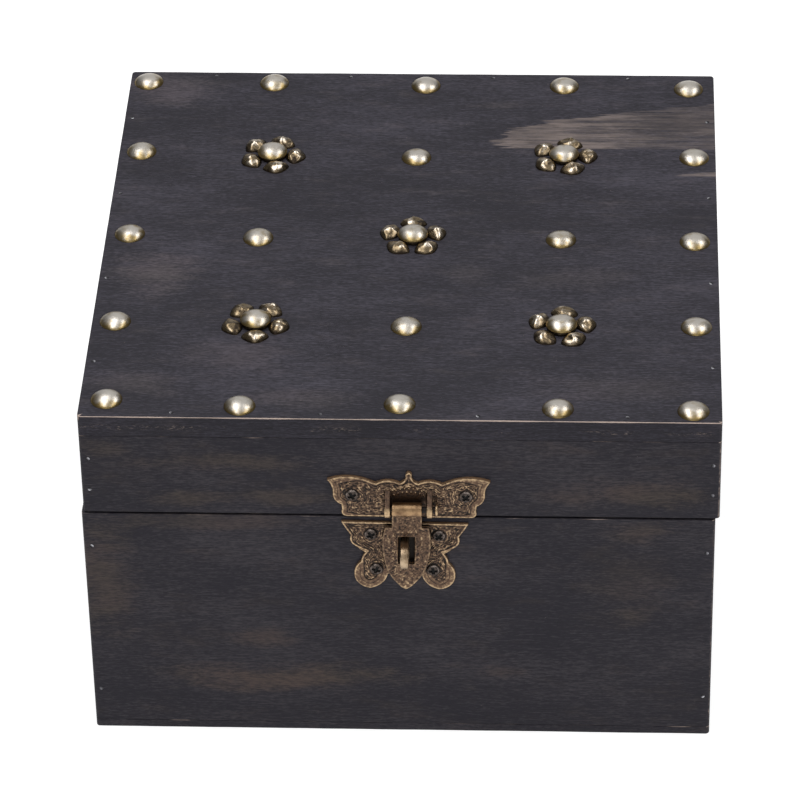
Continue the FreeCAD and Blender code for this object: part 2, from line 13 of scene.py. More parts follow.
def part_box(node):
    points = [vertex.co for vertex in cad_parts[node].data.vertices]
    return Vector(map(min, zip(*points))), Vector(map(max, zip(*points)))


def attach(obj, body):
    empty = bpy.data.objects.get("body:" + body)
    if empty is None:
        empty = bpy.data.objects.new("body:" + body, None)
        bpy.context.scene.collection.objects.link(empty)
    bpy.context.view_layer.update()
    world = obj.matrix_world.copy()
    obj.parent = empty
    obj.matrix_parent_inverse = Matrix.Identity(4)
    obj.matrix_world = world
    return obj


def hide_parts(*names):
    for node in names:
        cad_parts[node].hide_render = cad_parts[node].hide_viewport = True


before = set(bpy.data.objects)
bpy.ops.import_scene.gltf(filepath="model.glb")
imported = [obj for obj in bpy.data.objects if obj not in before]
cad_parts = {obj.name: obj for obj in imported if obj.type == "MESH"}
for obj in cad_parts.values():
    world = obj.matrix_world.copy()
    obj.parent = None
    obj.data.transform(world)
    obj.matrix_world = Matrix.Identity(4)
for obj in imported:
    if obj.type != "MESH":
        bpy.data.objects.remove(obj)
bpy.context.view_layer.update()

# Looks of a stained wooden chest with dome nails, petal rosettes and a butterfly hasp.
# Shapes are worked out in millimetres, in the frame of the solids, and put into meshes in metres.

MM = 0.001
LOG = logging.getLogger("chest")

Array = np.ndarray
Pair = tuple[float, float]
Triple = tuple[float, float, float]


class Grain(Enum):
    """Direction that a board's grain, or a metal's brush marks, run in."""

    ALONG_X = 0
    ALONG_Y = 1


class Slot(Enum):
    """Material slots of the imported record."""

    WOOD = "stained_wood"
    BRASS = "antique_brass"
    BRONZE = "antique_bronze"
    BLACK_STEEL = "blackened_steel"
    STEEL = "bright_steel"


# Colours, noise and closed surfaces


def linear(hex_colour: str) -> tuple[float, float, float, float]:
    """Linear colour of an sRGB hex value: a straight part near black and a power of 2.4 above it.

    Args:
        hex_colour: Six hex digits.

    Returns:
        Red, green and blue in linear light, and an alpha of 1.
    """
    srgb = np.array([int(hex_colour[at:at + 2], 16) for at in (0, 2, 4)]) / 255.0
    rgb = np.where(srgb <= 0.04045, srgb / 12.92, ((srgb + 0.055) / 1.055) ** 2.4)
    return (float(rgb[0]), float(rgb[1]), float(rgb[2]), 1.0)


def smooth_step(low: float, high: float, value: Array) -> Array:
    """Rise from 0 at low to 1 at high, as 3t² - 2t³ of the share t of the way.

    Args:
        low: Value at which the rise starts.
        high: Value at which it ends.
        value: Where it is taken.

    Returns:
        Shares from 0 to 1.
    """
    share = np.clip((value - low) / (high - low), 0.0, 1.0)
    return share * share * (3.0 - 2.0 * share)


def full_turn(count: int) -> Array:
    """Even angles round a full turn, from 0."""
    return np.arange(count) * math.tau / count


def node_box(node: str) -> tuple[Array, Array]:
    """Low and high corners of a CAD node's box, in millimetres."""
    low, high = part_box(node)
    return np.array(low) / MM, np.array(high) / MM


def linked(name: str, data: bpy.types.ID) -> bpy.types.Object:
    """New object with a mesh, lamp or camera, linked into the scene."""
    made = bpy.data.objects.new(name, data)
    bpy.context.scene.collection.objects.link(made)
    return made


@dataclass(frozen=True)
class Lattice:
    """Seeded value noise: random numbers on a square lattice, blended between its corners.

    Attributes:
        seed: Seed of the random numbers.
        cells: Lattice cells before the noise repeats.
    """

    seed: int
    cells: int = 128

    def at(self, u: Array, v: Array) -> Array:
        """Noise at (u, v): the four corner values of the cell, weighted by smooth steps of the place in it.

        Args:
            u: First coordinate, in cells.
            v: Second coordinate, in cells.

        Returns:
            Values from -1 to 1.
        """
        table = np.random.default_rng(self.seed).uniform(-1.0, 1.0, (self.cells, self.cells))
        row = np.floor(u).astype(int)
        column = np.floor(v).astype(int)
        across = smooth_step(0.0, 1.0, u - row)
        up = smooth_step(0.0, 1.0, v - column)

        def corner(right: int, top: int) -> Array:
            """Random number at one corner of each point's cell."""
            return table[(row + right) % self.cells, (column + top) % self.cells]

        low = corner(0, 0) * (1.0 - across) + corner(1, 0) * across
        high = corner(0, 1) * (1.0 - across) + corner(1, 1) * across
        return low * (1.0 - up) + high * up

    def over(self, points: Array, size: float, offset: float) -> Array:
        """Noise over the first two coordinates of points, with cells of a size and an offset in cells."""
        return self.at(points[..., 0] / size + offset, points[..., 1] / size + offset)


class Shell:
    """Closed surfaces of one piece, gathered as arrays in millimetres.

    A surface is a stack of rings: neighbours round a ring and in the stack make a quad. An open stack is
    closed by a fan to the middle of its first and last rings, and a looped one joins its last ring to its
    first.
    """

    def __init__(self) -> None:
        """Start with no surfaces."""
        self.points: list[Array] = []
        self.quads: list[Array] = []
        self.fans: list[Array] = []
        self.shades: list[Array] = []
        self.count = 0

    def add(self, rings: Array, shade: Array | float = 0.0, loop: bool = False) -> None:
        """Add one closed surface, turned so that its faces point outwards.

        The sum of the signed volumes between each triangle and the origin tells which way its faces point.

        Args:
            rings: Points, as (rings, points in a ring, 3).
            shade: Value kept at each point for the finish, as (rings, points in a ring), or one for all.
            loop: Whether the last ring joins the first.
        """
        stack, around = rings.shape[:2]
        index = np.arange(stack * around).reshape(stack, around)
        beside = np.roll(index, -1, axis=1)
        above = np.roll(index, -1, axis=0)
        rows = slice(None) if loop else slice(0, -1)
        corners = (index, beside, np.roll(beside, -1, axis=0), above)
        quads = np.stack([corner[rows] for corner in corners], axis=-1).reshape(-1, 4)
        points = rings.reshape(-1, 3)
        shades = np.broadcast_to(shade, (stack, around)).astype(float)
        values = shades.ravel()
        fans = np.zeros((0, 3), int)
        if not loop:
            points = np.concatenate([points, rings[[0, -1]].mean(axis=1)])
            values = np.concatenate([values, shades[[0, -1]].mean(axis=1)])
            first = np.full(around, stack * around)
            fans = np.concatenate([
                np.stack([beside[0], index[0], first], axis=-1),
                np.stack([index[-1], beside[-1], first + 1], axis=-1)])
        triangles = np.concatenate([quads[:, :3], quads[:, [0, 2, 3]], fans])
        a, b, c = (points[triangles[:, corner]] for corner in range(3))
        if np.einsum("ij,ij->", a, np.cross(b, c)) < 0.0:
            quads = quads[:, ::-1]
            fans = fans[:, ::-1]
        self.points.append(points)
        self.shades.append(values)
        self.quads.append(quads + self.count)
        self.fans.append(fans + self.count)
        self.count += len(points)

    def piece(self, name: str, body: str, finish: "AgedMetal | StainedWood", node: str) -> None:
        """Put the surfaces into one mesh object that stands for a CAD node.

        The object stays at the origin, with its place in its mesh.

        Args:
            name: Name of the piece.
            body: CAD body that it rides on.
            finish: Finish of every face, which names its material slot.
            node: CAD node that it replaces.
        """
        mesh = bpy.data.meshes.new(name)
        faces = np.concatenate(self.quads).tolist() + np.concatenate(self.fans).tolist()
        mesh.from_pydata((np.concatenate(self.points) * MM).tolist(), [], faces)
        mesh.polygons.foreach_set("use_smooth", np.ones(len(mesh.polygons), bool))
        shade = mesh.attributes.new("shade", "FLOAT", "POINT")
        shade.data.foreach_set("value", np.concatenate(self.shades).astype(np.float32))
        mesh.materials.append(finish.material)
        mesh.update()
        piece = linked(name, mesh)
        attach(piece, body)
        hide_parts(node)
        LOG.info("%s: %d points, stands for %s", name, self.count, node)


@dataclass(frozen=True)
class Outline:
    """Closed flat outline.

    Attributes:
        points: Its points in order, as (n, 2).
        normals: Outward unit directions at them.
        wear: How far each point is worn, from 0 on a flat to 1 on a corner.
    """

    points: Array
    normals: Array
    wear: Array

    def inset(self, depth: Array | float) -> Array:
        """Points moved inwards along their normals by a depth."""
        return self.points - self.normals * np.broadcast_to(depth, len(self.points))[:, None]


def closed_curve(points: Array) -> Outline:
    """Outline through points, with normals square to the chord between each point's neighbours.

    Args:
        points: Points in order, either way round, as (n, 2).

    Returns:
        The outline, turned counter-clockwise.
    """
    ahead = np.roll(points, -1, axis=0)
    if np.sum(points[:, 0] * ahead[:, 1] - ahead[:, 0] * points[:, 1]) < 0.0:
        points = points[::-1]
    chord = np.roll(points, -1, axis=0) - np.roll(points, 1, axis=0)
    chord /= np.linalg.norm(chord, axis=1, keepdims=True)
    return Outline(points, np.column_stack([chord[:, 1], -chord[:, 0]]), np.zeros(len(points)))


def rounded_rectangle(low: Array, high: Array, radii: Sequence[float], pitch: float) -> Outline:
    """Rectangle with quarter-circle corners: each side is straight between two arcs of the corners' radii.

    Args:
        low: Corner with the least coordinates.
        high: Corner with the greatest.
        radii: Corner radii, counter-clockwise from the low corner.
        pitch: Distance between points along the sides.

    Returns:
        The outline, with its wear highest in the middle of each corner.
    """
    arc_points = 7
    margin = 0.4
    signs = np.array([[-1, -1], [1, -1], [1, 1], [-1, 1]])
    turn = np.linspace(0.0, math.pi / 2, arc_points)
    points, normals, wear = [], [], []
    for corner in range(4):
        start = math.pi + corner * math.pi / 2
        away = np.column_stack([np.cos(start + turn), np.sin(start + turn)])
        at = np.where(signs[corner] > 0, high, low) - signs[corner] * radii[corner]
        points.append(at + away * radii[corner])
        normals.append(away)
        wear.append(np.sin(2.0 * turn))
        after = (corner + 1) % 4
        end = np.where(signs[after] > 0, high, low) - signs[after] * radii[after] + away[-1] * radii[after]
        span = end - points[-1][-1]
        length = float(np.linalg.norm(span))
        near = margin / length
        even = np.linspace(0.0, 1.0, max(3, int(length / pitch)))
        share = np.concatenate([[near], even[1:-1], [1.0 - near]])
        points.append(points[-1][-1] + share[:, None] * span)
        normals.append(np.broadcast_to(away[-1], (len(share), 2)))
        wear.append(np.zeros(len(share)))
    return Outline(np.concatenate(points), np.concatenate(normals), np.concatenate(wear))


def prism(outline: Outline, low: float, high: float, radius: Array | float, rows: int,
          caps: Sequence[float]) -> tuple[Array, Array]:
    """Outline carried from low to high with quarter-round edges, then drawn in over both flats.

    Round an edge at angle a, the outline is inset by radius(1 - sin a) and stands radius(1 - cos a) from
    the flat. On the flats it is scaled towards its middle. Wear is greatest half way round an edge and fades
    over the flats and the sides.

    Args:
        outline: Outline at full width.
        low: Height of the lower flat.
        high: Height of the upper flat.
        radius: Edge radius, one or one for each point.
        rows: Rings up the sides.
        caps: Scales of the rings over the flats, from the edge inwards.

    Returns:
        Rings as (rings, points, 3), with the height last, and the wear at each point.
    """
    arc_points = 6
    margin = 0.2
    rest = 0.35
    fade = 2.5
    corner_share = 0.7
    size = len(outline.points)
    radius = np.broadcast_to(radius, size)
    turn = np.linspace(0.0, math.pi / 2, arc_points)[:, None]
    inset = radius * (1.0 - np.sin(turn))
    rise = radius * (1.0 - np.cos(turn))
    edge_wear = rest + (1.0 - rest) * np.sin(2.0 * turn) * np.ones(size)
    start, end = low + radius + margin, high - radius - margin
    side = np.linspace(0.0, 1.0, rows)[:, None] * (end - start) + start
    side_wear = rest * np.exp(-np.minimum(side - low, high - side) / fade)
    rim = outline.inset(radius)
    middle = rim.mean(axis=0)
    over = np.array(caps)[:, None, None] * (rim - middle) + middle
    reach = np.linalg.norm(rim - over, axis=2)
    over_wear = rest * np.exp(-reach / fade)
    ring = [np.column_stack([points, np.full(size, low)]) for points in over[::-1]]
    ring += [np.column_stack([outline.inset(step), low + lift]) for step, lift in zip(inset, rise)]
    ring += [np.column_stack([outline.points, heights]) for heights in side]
    upper = [np.column_stack([outline.inset(step), high - lift]) for step, lift in zip(inset, rise)]
    ring += upper[::-1]
    ring += [np.column_stack([points, np.full(size, high)]) for points in over]
    wear = np.concatenate([over_wear[::-1], edge_wear, side_wear, edge_wear[::-1], over_wear])
    return np.stack(ring), np.maximum(wear, corner_share * outline.wear)


def revolved(profile: Array, around: int) -> Array:
    """Profile of (radius, height) pairs turned about the height axis.

    Args:
        profile: Pairs in order, as (n, 2).
        around: Points in each ring.

    Returns:
        Rings as (n, around, 3): radius times the cosine and sine of the angle, then the height.
    """
    angle = full_turn(around)
    radius = profile[:, :1]
    height = np.broadcast_to(profile[:, 1:], (len(profile), around))
    return np.stack([radius * np.cos(angle), radius * np.sin(angle), height], axis=-1)


def tilted(points: Array, angle: float) -> Array:
    """Points turned about the origin in the plane of a wall, x and z, by an angle."""
    x, y, z = np.moveaxis(points, -1, 0)
    cos, sin = math.cos(angle), math.sin(angle)
    return np.stack([x * cos - z * sin, y, x * sin + z * cos], axis=-1)


def traced(steps: Sequence) -> Array:
    """Dense points along straight edges and arcs.

    A pair is the end of a straight edge. Two pairs are an arc's middle and end: the arc turns about the
    point that is as far from its start, middle and end.

    Args:
        steps: Start, then the ends of the edges.

    Returns:
        Points about a tenth of a millimetre apart, as (n, 2).
    """
    spacing = 0.1
    here = np.array(steps[0], float)
    runs = [here[None]]
    for step in steps[1:]:
        if np.ndim(step) == 1:
            there = np.array(step, float)
            count = max(2, int(np.linalg.norm(there - here) / spacing))
            runs.append(here + np.linspace(0.0, 1.0, count + 1)[1:, None] * (there - here))
        else:
            middle, there = np.array(step, float)
            sides = 2.0 * np.array([middle - here, there - here])
            squares = [middle @ middle - here @ here, there @ there - here @ here]
            centre = np.linalg.solve(sides, squares)
            angles = [math.atan2(*(point - centre)[::-1]) for point in (here, middle, there)]
            first, last = np.unwrap(angles)[[0, -1]]
            radius = float(np.linalg.norm(here - centre))
            count = max(4, int(radius * abs(last - first) / spacing))
            angle = np.linspace(first, last, count + 1)[1:]
            runs.append(centre + radius * np.column_stack([np.cos(angle), np.sin(angle)]))
        here = there
    return np.concatenate(runs)


def spaced(points: Array, count: int, start: float = 0.0, end: float = 1.0) -> Array:
    """Points at even steps of length along a traced line, between two shares of its length.

    Args:
        points: Line to follow.
        count: How many points.
        start: Share of the length at the first.
        end: Share of the length at the last.

    Returns:
        The points, as (count, 2).
    """
    length = np.concatenate([[0.0], np.cumsum(np.linalg.norm(np.diff(points, axis=0), axis=1))])
    at = np.linspace(start, end, count) * length[-1]
    return np.column_stack([np.interp(at, length, points[:, axis]) for axis in range(2)])


def distance_to(line: Array, places: Array) -> Array:
    """Distance from each place to the nearest point of a dense line, a block of places at a time.

    Args:
        line: Points of the line, as (n, 2).
        places: Places, with the two coordinates last.

    Returns:
        Distances, in the shape of places without its last axis.
    """
    block_size = 2000
    flat = places.reshape(-1, 2)
    blocks = np.array_split(flat, max(1, len(flat) // block_size))
    near = [np.sqrt(((block[:, None] - line[None]) ** 2).sum(axis=2).min(axis=1)) for block in blocks]
    return np.concatenate(near).reshape(places.shape[:-1])


def reach_at(loop: Array, bearing: Array) -> Array:
    """Distance from the origin to a loop round it at some bearings, read between the loop's points.

    Args:
        loop: Points of the loop, as (n, 2).
        bearing: Angles at which it is read.

    Returns:
        A distance for each bearing.
    """
    angle = np.arctan2(loop[:, 1], loop[:, 0])
    order = np.argsort(angle)
    return np.interp(bearing, angle[order], np.hypot(*loop.T)[order], period=math.tau)


def rounded_drop(away: Array, radius: float) -> Array:
    """Drop of a quarter-round edge: at a distance d inside the radius r, r - sqrt(r² - (r - d)²)."""
    near = np.clip(radius - away, 0.0, radius)
    return radius - np.sqrt(radius ** 2 - near ** 2)


# Finishes

# Settings that nodes share: a smooth step, a mix of two colours, and ways to join two or three numbers
SMOOTH = {"interpolation_type": "SMOOTHSTEP"}
BLEND = {"out": 2, "data_type": "RGBA"}
PLUS = {"operation": "ADD"}
TIMES = {"operation": "MULTIPLY"}
TIMES_PLUS = {"operation": "MULTIPLY_ADD"}
GREATER = {"operation": "MAXIMUM"}
# Share of a patch's strength that shows through the fibres
PATCH_SHARE = 1.1
# Share of a streak's strength that is left at its far end
FADE_SHARE = 0.5
# Length in millimetres over which a streak's end is torn along the fibres
STREAK_TEAR = 24.0
# Shares of the noise in the stain's depth, and in the ragged edge of a patch and of a worn edge
DEPTH_SHARE = {"fine": 0.28, "fibre": 0.28, "cloud": 0.19}
RAGGED_SHARE = {"fine": -1.0, "rub": -2.6}
FRAY_SHARE = 0.6
# Half the height in millimetres over which a core veneer ends
VENEER_SOFT = 0.5
# Length of a brush mark, in widths of the metal's grain
BRUSH_LENGTH = 14.0
# Noise in the wood: its size across the grain and along it in millimetres, then its detail and roughness
WOOD_FIGURE = {
    "cloud": (20.0, 50.0, 3.0, 0.55),
    "fibre": (0.55, 7.0, 5.0, 0.65),
    "fine": (0.42, 1.8, 3.0, 0.6),
    "rub": (6.0, 18.0, 6.0, 0.68),
    "pore": (0.45, 4.5, 1.0, 0.5),
    "nick": (0.5, 0.8, 1.0, 0.5),
    "wear": (1.6, 7.0, 4.0, 0.7),
    "ragged": (1.3, 60.0, 3.0, 0.55),
    "drag": (0.9, 22.0, 5.0, 0.7),
    "fleck": (0.45, 1.2, 2.0, 0.6),
    "void": (0.9, 5.0, 1.0, 0.5),
}
# Smooth steps of that noise: which noise, the values at which the step starts and ends, and its height
WOOD_STEPS = {
    "red": ("cloud", 0.42, 0.62, 1.0),
    "haze": ("rub", 0.5, 0.8, 0.35),
    "cloudy": ("rub", 0.4, 0.62, 0.25),
    "pulled": ("drag", 0.3, 0.7, 0.75),
    "pores": ("pore", 0.62, 0.74, 0.35),
    "nicks": ("nick", 0.78, 0.82, 0.3),
    "flecks": ("fleck", 0.52, 0.7, 0.4),
    "flecked": ("rub", 0.46, 0.6, 1.0),
    "voids": ("void", 0.7, 0.73, 1.0),
}


class NodeTree:
    """Nodes of one material or world, and the sockets that are kept by name for later nodes."""

    def __init__(self, owner: bpy.types.Material | bpy.types.World) -> None:
        """Give a material or world an empty tree.

        Args:
            owner: Material or world that gets the tree.
        """
        self.owner = owner
        owner.use_nodes = True
        self.tree = owner.node_tree
        self.tree.nodes.clear()
        self.named: dict[str, bpy.types.NodeSocket] = {}

    def add(self, kind: str, inputs: dict | None = None, out: int | str = 0, **settings: object) -> object:
        """Add a node with its settings and links.

        Args:
            kind: Node type, without its prefix.
            inputs: Value or linked socket for each input, by name or number.
            out: Output that is handed back.
            settings: Node properties to set.

        Returns:
            The output socket, or the node itself where it has none.
        """
        node = self.tree.nodes.new("ShaderNode" + kind)
        for key, value in settings.items():
            setattr(node, key, value)
        for key, value in (inputs or {}).items():
            if isinstance(value, bpy.types.NodeSocket):
                self.tree.links.new(value, node.inputs[key])
            else:
                node.inputs[key].default_value = value
        return node.outputs[out] if len(node.outputs) else node


@dataclass(frozen=True)
class BareStreak:
    """Place where the stain was dragged off along the grain, leaving a wedge of bare wood.

    Attributes:
        tip: Pointed end of the wedge on the lid, in millimetres.
        width: Width that the wedge's tip grows to.
        spread: Length over which it grows, by 1 - exp(-length / spread).
        slope: Rise of the upper edge beyond its tip, by length.
        strength: Share of the stain that is gone near the tip.
        fade: Distances from the tip between which more of the stain is left.
    """

    tip: Pair
    width: float
    spread: float
    slope: float
    strength: float
    fade: Pair


@dataclass(frozen=True)
class RubbedPatch:
    """Place where handling thinned the stain, so that brown wood shows through.

    Attributes:
        along: Its middle along the grain, in millimetres.
        across: Its middle across the grain, in the board's plane.
        half_along: Half its length along the grain.
        half_across: Half its width across it.
        strength: Share of the stain that is gone at its middle.
    """

    along: float
    across: float
    half_along: float
    half_across: float
    strength: float


@dataclass(frozen=True)
class StainedWood:
    """Plywood with a thin ebony stain: dark and slightly violet, with brown wood where it was rubbed.

    The eye sees fine streaks along the grain, cloudy brown patches, dark pores, pale nicks and bare edges.

    Attributes:
        name: Name of the material.
        grain: Direction of the grain.
        shift: Offset of the pattern in millimetres, so that boards differ.
        flat: Whether the board lies flat, rather than standing as a wall.
        streaks: Bare wedges on this board.
        patches: Rubbed places on this board.
        core: Least and greatest height of a core veneer that shows on its edges, in millimetres.
        face: Height of the face that the streaks lie on, in millimetres.
        stain, thin_stain: Colours where the stain is deep and where it is thin.
        rubbed, rubbed_red: Colours where it was rubbed, and the same in redder wood.
        bare, pore: Colours of bare wood and of the pores.
        slot: Material slot of the record.
    """

    name: str
    grain: Grain
    shift: Triple
    flat: bool = False
    streaks: tuple[BareStreak, ...] = ()
    patches: tuple[RubbedPatch, ...] = ()
    core: Pair | None = None
    face: float = 125.5
    stain: str = "2a2830"
    thin_stain: str = "524e53"
    rubbed: str = "62574e"
    rubbed_red: str = "665750"
    bare: str = "c0ada2"
    pore: str = "121114"
    slot: ClassVar[Slot] = Slot.WOOD

    @cached_property
    def material(self) -> bpy.types.Material:
        """Node tree of the stained board.

        Every pattern is noise on Object coordinates, stretched along the grain. Stain depth, rubbed patches,
        pores and nicks are smooth steps of it, and the point value "shade" adds the worn edges.

        Returns:
            The material.
        """
        tree = NodeTree(bpy.data.materials.new(self.name))
        named = tree.named
        named["place"] = tree.add("TexCoord", out="Object")
        for figure, (across, along, detail, rough) in WOOD_FIGURE.items():
            size = [across] * 3
            size[self.grain.value] = along
            moved = tree.add("Mapping", {
                "Vector": named["place"],
                "Location": [step / length for step, length in zip(self.shift, size)],
                "Scale": [1.0 / (MM * length) for length in size]})
            named[figure] = tree.add("TexNoise", {
                "Vector": moved, "Scale": 1.0, "Detail": detail, "Roughness": rough})
        for step, (figure, low, high, most) in WOOD_STEPS.items():
            named[step] = tree.add("MapRange", {
                "Value": named[figure], "From Min": low, "From Max": high, "To Max": most}, **SMOOTH)

        # Depth of the stain, from clouds, long fibres and short ones
        short = tree.add("Math", {0: named["fine"], 1: DEPTH_SHARE["fine"]}, **TIMES)
        fibres = tree.add("Math", {0: named["fibre"], 1: DEPTH_SHARE["fibre"], 2: short}, **TIMES_PLUS)
        depth = tree.add("Math", {0: named["cloud"], 1: DEPTH_SHARE["cloud"], 2: fibres}, **TIMES_PLUS)
        thin = tree.add("MapRange", {"Value": depth, "From Min": 0.325, "From Max": 0.505}, **SMOOTH)
        colour = tree.add("Mix", {0: thin, 6: linear(self.stain), 7: linear(self.thin_stain)}, **BLEND)
        strokes = tree.add("MapRange", {
            "Value": fibres, "From Min": 0.2, "From Max": 0.36, "To Min": 0.4}, **SMOOTH)
        brown = tree.add("Math", {0: self.thinned(tree), 1: strokes}, **TIMES)
        tone = tree.add("Mix", {
            0: named["red"], 6: linear(self.rubbed), 7: linear(self.rubbed_red)}, **BLEND)
        colour = tree.add("Mix", {0: brown, 6: colour, 7: tone}, **BLEND)
        gone = self.gone(tree)
        colour = tree.add("Mix", {0: gone, 6: colour, 7: linear(self.bare)}, **BLEND)
        dark = named["pores"]
        if self.core is not None:
            holes = tree.add("Math", {0: named["voids"], 1: self.veneer(tree)}, **TIMES)
            dark = tree.add("Math", {0: dark, 1: holes}, **GREATER)
        colour = tree.add("Mix", {0: dark, 6: colour, 7: linear(self.pore)}, **BLEND)
        rough = tree.add("MapRange", {
            "Value": named["fibre"], "From Min": 0.3, "From Max": 0.7, "To Min": 0.52, "To Max": 0.68})
        ridges = tree.add("Math", {0: fibres, 1: dark}, operation="SUBTRACT")
        bump = tree.add("Bump", {"Height": ridges, "Strength": 0.6, "Distance": 0.2 * MM})
        # Unvarnished stain lies in open fibres, so it mirrors half as much as a smooth face would
        shader = tree.add("BsdfPrincipled", {
            "Base Color": colour, "Roughness": rough, "Normal": bump, "IOR": 1.45,
            "Specular IOR Level": 0.25})
        tree.add("OutputMaterial", {"Surface": shader})
        return tree.owner

    def thinned(self, tree: NodeTree) -> object:
        """Share of the stain that is rubbed thin: a haze over the board, and more in each patch.

        A patch is a smooth step of the distance from its middle in half sizes, and noise breaks its edge.

        Args:
            tree: Tree that holds the wood's noise and gets the nodes.

        Returns:
            Socket of the share.
        """
        named = tree.named
        axes = (self.grain.value, 1 if self.flat else 2)
        share = named["haze"]
        fine = tree.add("Math", {0: named["fine"], 1: RAGGED_SHARE["fine"]}, **TIMES)
        torn = tree.add("Math", {0: named["rub"], 1: RAGGED_SHARE["rub"], 2: fine}, **TIMES_PLUS)
        for patch in self.patches:
            away = [0.0] * 3
            size = [0.0] * 3
            middles = (patch.along, patch.across)
            for axis, middle, half in zip(axes, middles, (patch.half_along, patch.half_across)):
                away[axis] = -middle / half
                size[axis] = 1.0 / (MM * half)
            inside = tree.add("Mapping", {"Vector": named["place"], "Location": away, "Scale": size})
            reach = tree.add("VectorMath", {0: inside}, out=1, operation="LENGTH")
            ragged = tree.add("Math", {0: reach, 1: torn}, **PLUS)
            rubbed = tree.add("MapRange", {
                "Value": ragged, "From Min": -0.6, "From Max": -1.8,
                "To Max": PATCH_SHARE * patch.strength}, **SMOOTH)
            share = tree.add("Math", {0: share, 1: rubbed}, **GREATER)
        return share

    def gone(self, tree: NodeTree) -> object:
        """Share of the stain that is gone: on nicks, worn edges, flecks of a core veneer and streaks.

        Args:
            tree: Tree that holds the wood's noise and gets the nodes.

        Returns:
            Socket of the share.
        """
        named = tree.named
        worn = tree.add("Attribute", out="Fac", attribute_name="shade")
        frayed = tree.add("Math", {0: named["wear"], 1: FRAY_SHARE, 2: worn}, **TIMES_PLUS)
        edge = tree.add("MapRange", {"Value": frayed, "From Min": 0.85, "From Max": 1.2}, **SMOOTH)
        share = tree.add("Math", {0: named["nicks"], 1: edge}, **GREATER)
        if self.core is not None:
            band = tree.add("Math", {0: self.veneer(tree), 1: named["flecked"]}, **TIMES)
            flecks = tree.add("Math", {0: named["flecks"], 1: band}, **TIMES)
            share = tree.add("Math", {0: share, 1: flecks}, **GREATER)
        for streak in self.streaks:
            lost = self.dragged(tree, streak)
            share = tree.add("Math", {0: share, 1: lost}, **GREATER)
        return share

    def dragged(self, tree: NodeTree, streak: BareStreak) -> object:
        """Share of the stain that one streak dragged off the board's face.

        The streak lies between its straight lower edge and an upper edge that grows by a straight slope and
        1 - exp(-length / spread). Smooth steps of the height and of the distances to its edges end it.

        Args:
            tree: Tree that holds the wood's noise and gets the nodes.
            streak: The streak.

        Returns:
            Socket of the share.
        """
        named = tree.named
        at = tree.add("Mapping", {
            "Vector": named["place"], "Location": (-streak.tip[0], -streak.tip[1], 0.0),
            "Scale": (1.0 / MM,) * 3})
        along, across, height = (tree.add("SeparateXYZ", {0: at}, out=axis) for axis in range(3))
        torn = tree.add("Math", {0: named["ragged"], 1: STREAK_TEAR, 2: -STREAK_TEAR / 2.0}, **TIMES_PLUS)
        run = tree.add("Math", {0: along, 1: torn}, **PLUS)
        length = tree.add("Math", {0: run, 1: 0.0}, **GREATER)
        decay = tree.add("Math", {0: length, 1: -1.0 / streak.spread}, **TIMES)
        left = tree.add("Math", {0: decay}, operation="EXPONENT")
        tip = tree.add("Math", {0: left, 1: -streak.width, 2: streak.width}, **TIMES_PLUS)
        top = tree.add("Math", {0: length, 1: streak.slope, 2: tip}, **TIMES_PLUS)
        below = tree.add("Math", {0: top, 1: across}, operation="SUBTRACT")
        limits = (
            (height, self.face - 0.8, self.face - 0.1), (below, 0.0, 0.6), (across, -0.9, -0.2),
            (length, 0.5, 3.0))
        lost = tree.add("Math", {0: named["pulled"], 1: named["cloudy"]}, **PLUS)
        for value, start, end in limits:
            inside = tree.add("MapRange", {"Value": value, "From Min": start, "From Max": end}, **SMOOTH)
            lost = tree.add("Math", {0: lost, 1: inside}, **TIMES)
        start, end = streak.fade
        bared = tree.add("MapRange", {
            "Value": length, "From Min": start, "From Max": end, "To Min": streak.strength,
            "To Max": FADE_SHARE * streak.strength}, **SMOOTH)
        return tree.add("Math", {0: lost, 1: bared}, **TIMES)

    def veneer(self, tree: NodeTree) -> object:
        """Share of the core veneer at each height, by a smooth step at its bottom and one at its top.

        Args:
            tree: Tree that holds the wood's noise and gets the nodes.

        Returns:
            Socket of the share.
        """
        low, high = self.core
        height = tree.add("SeparateXYZ", {0: tree.named["place"]}, out=2)
        bottom, top = (
            tree.add("MapRange", {
                "Value": height, "From Min": (level - soft) * MM, "From Max": (level + soft) * MM}, **SMOOTH)
            for level, soft in ((low, VENEER_SOFT), (high, -VENEER_SOFT)))
        return tree.add("Math", {0: bottom, 1: top}, **TIMES)


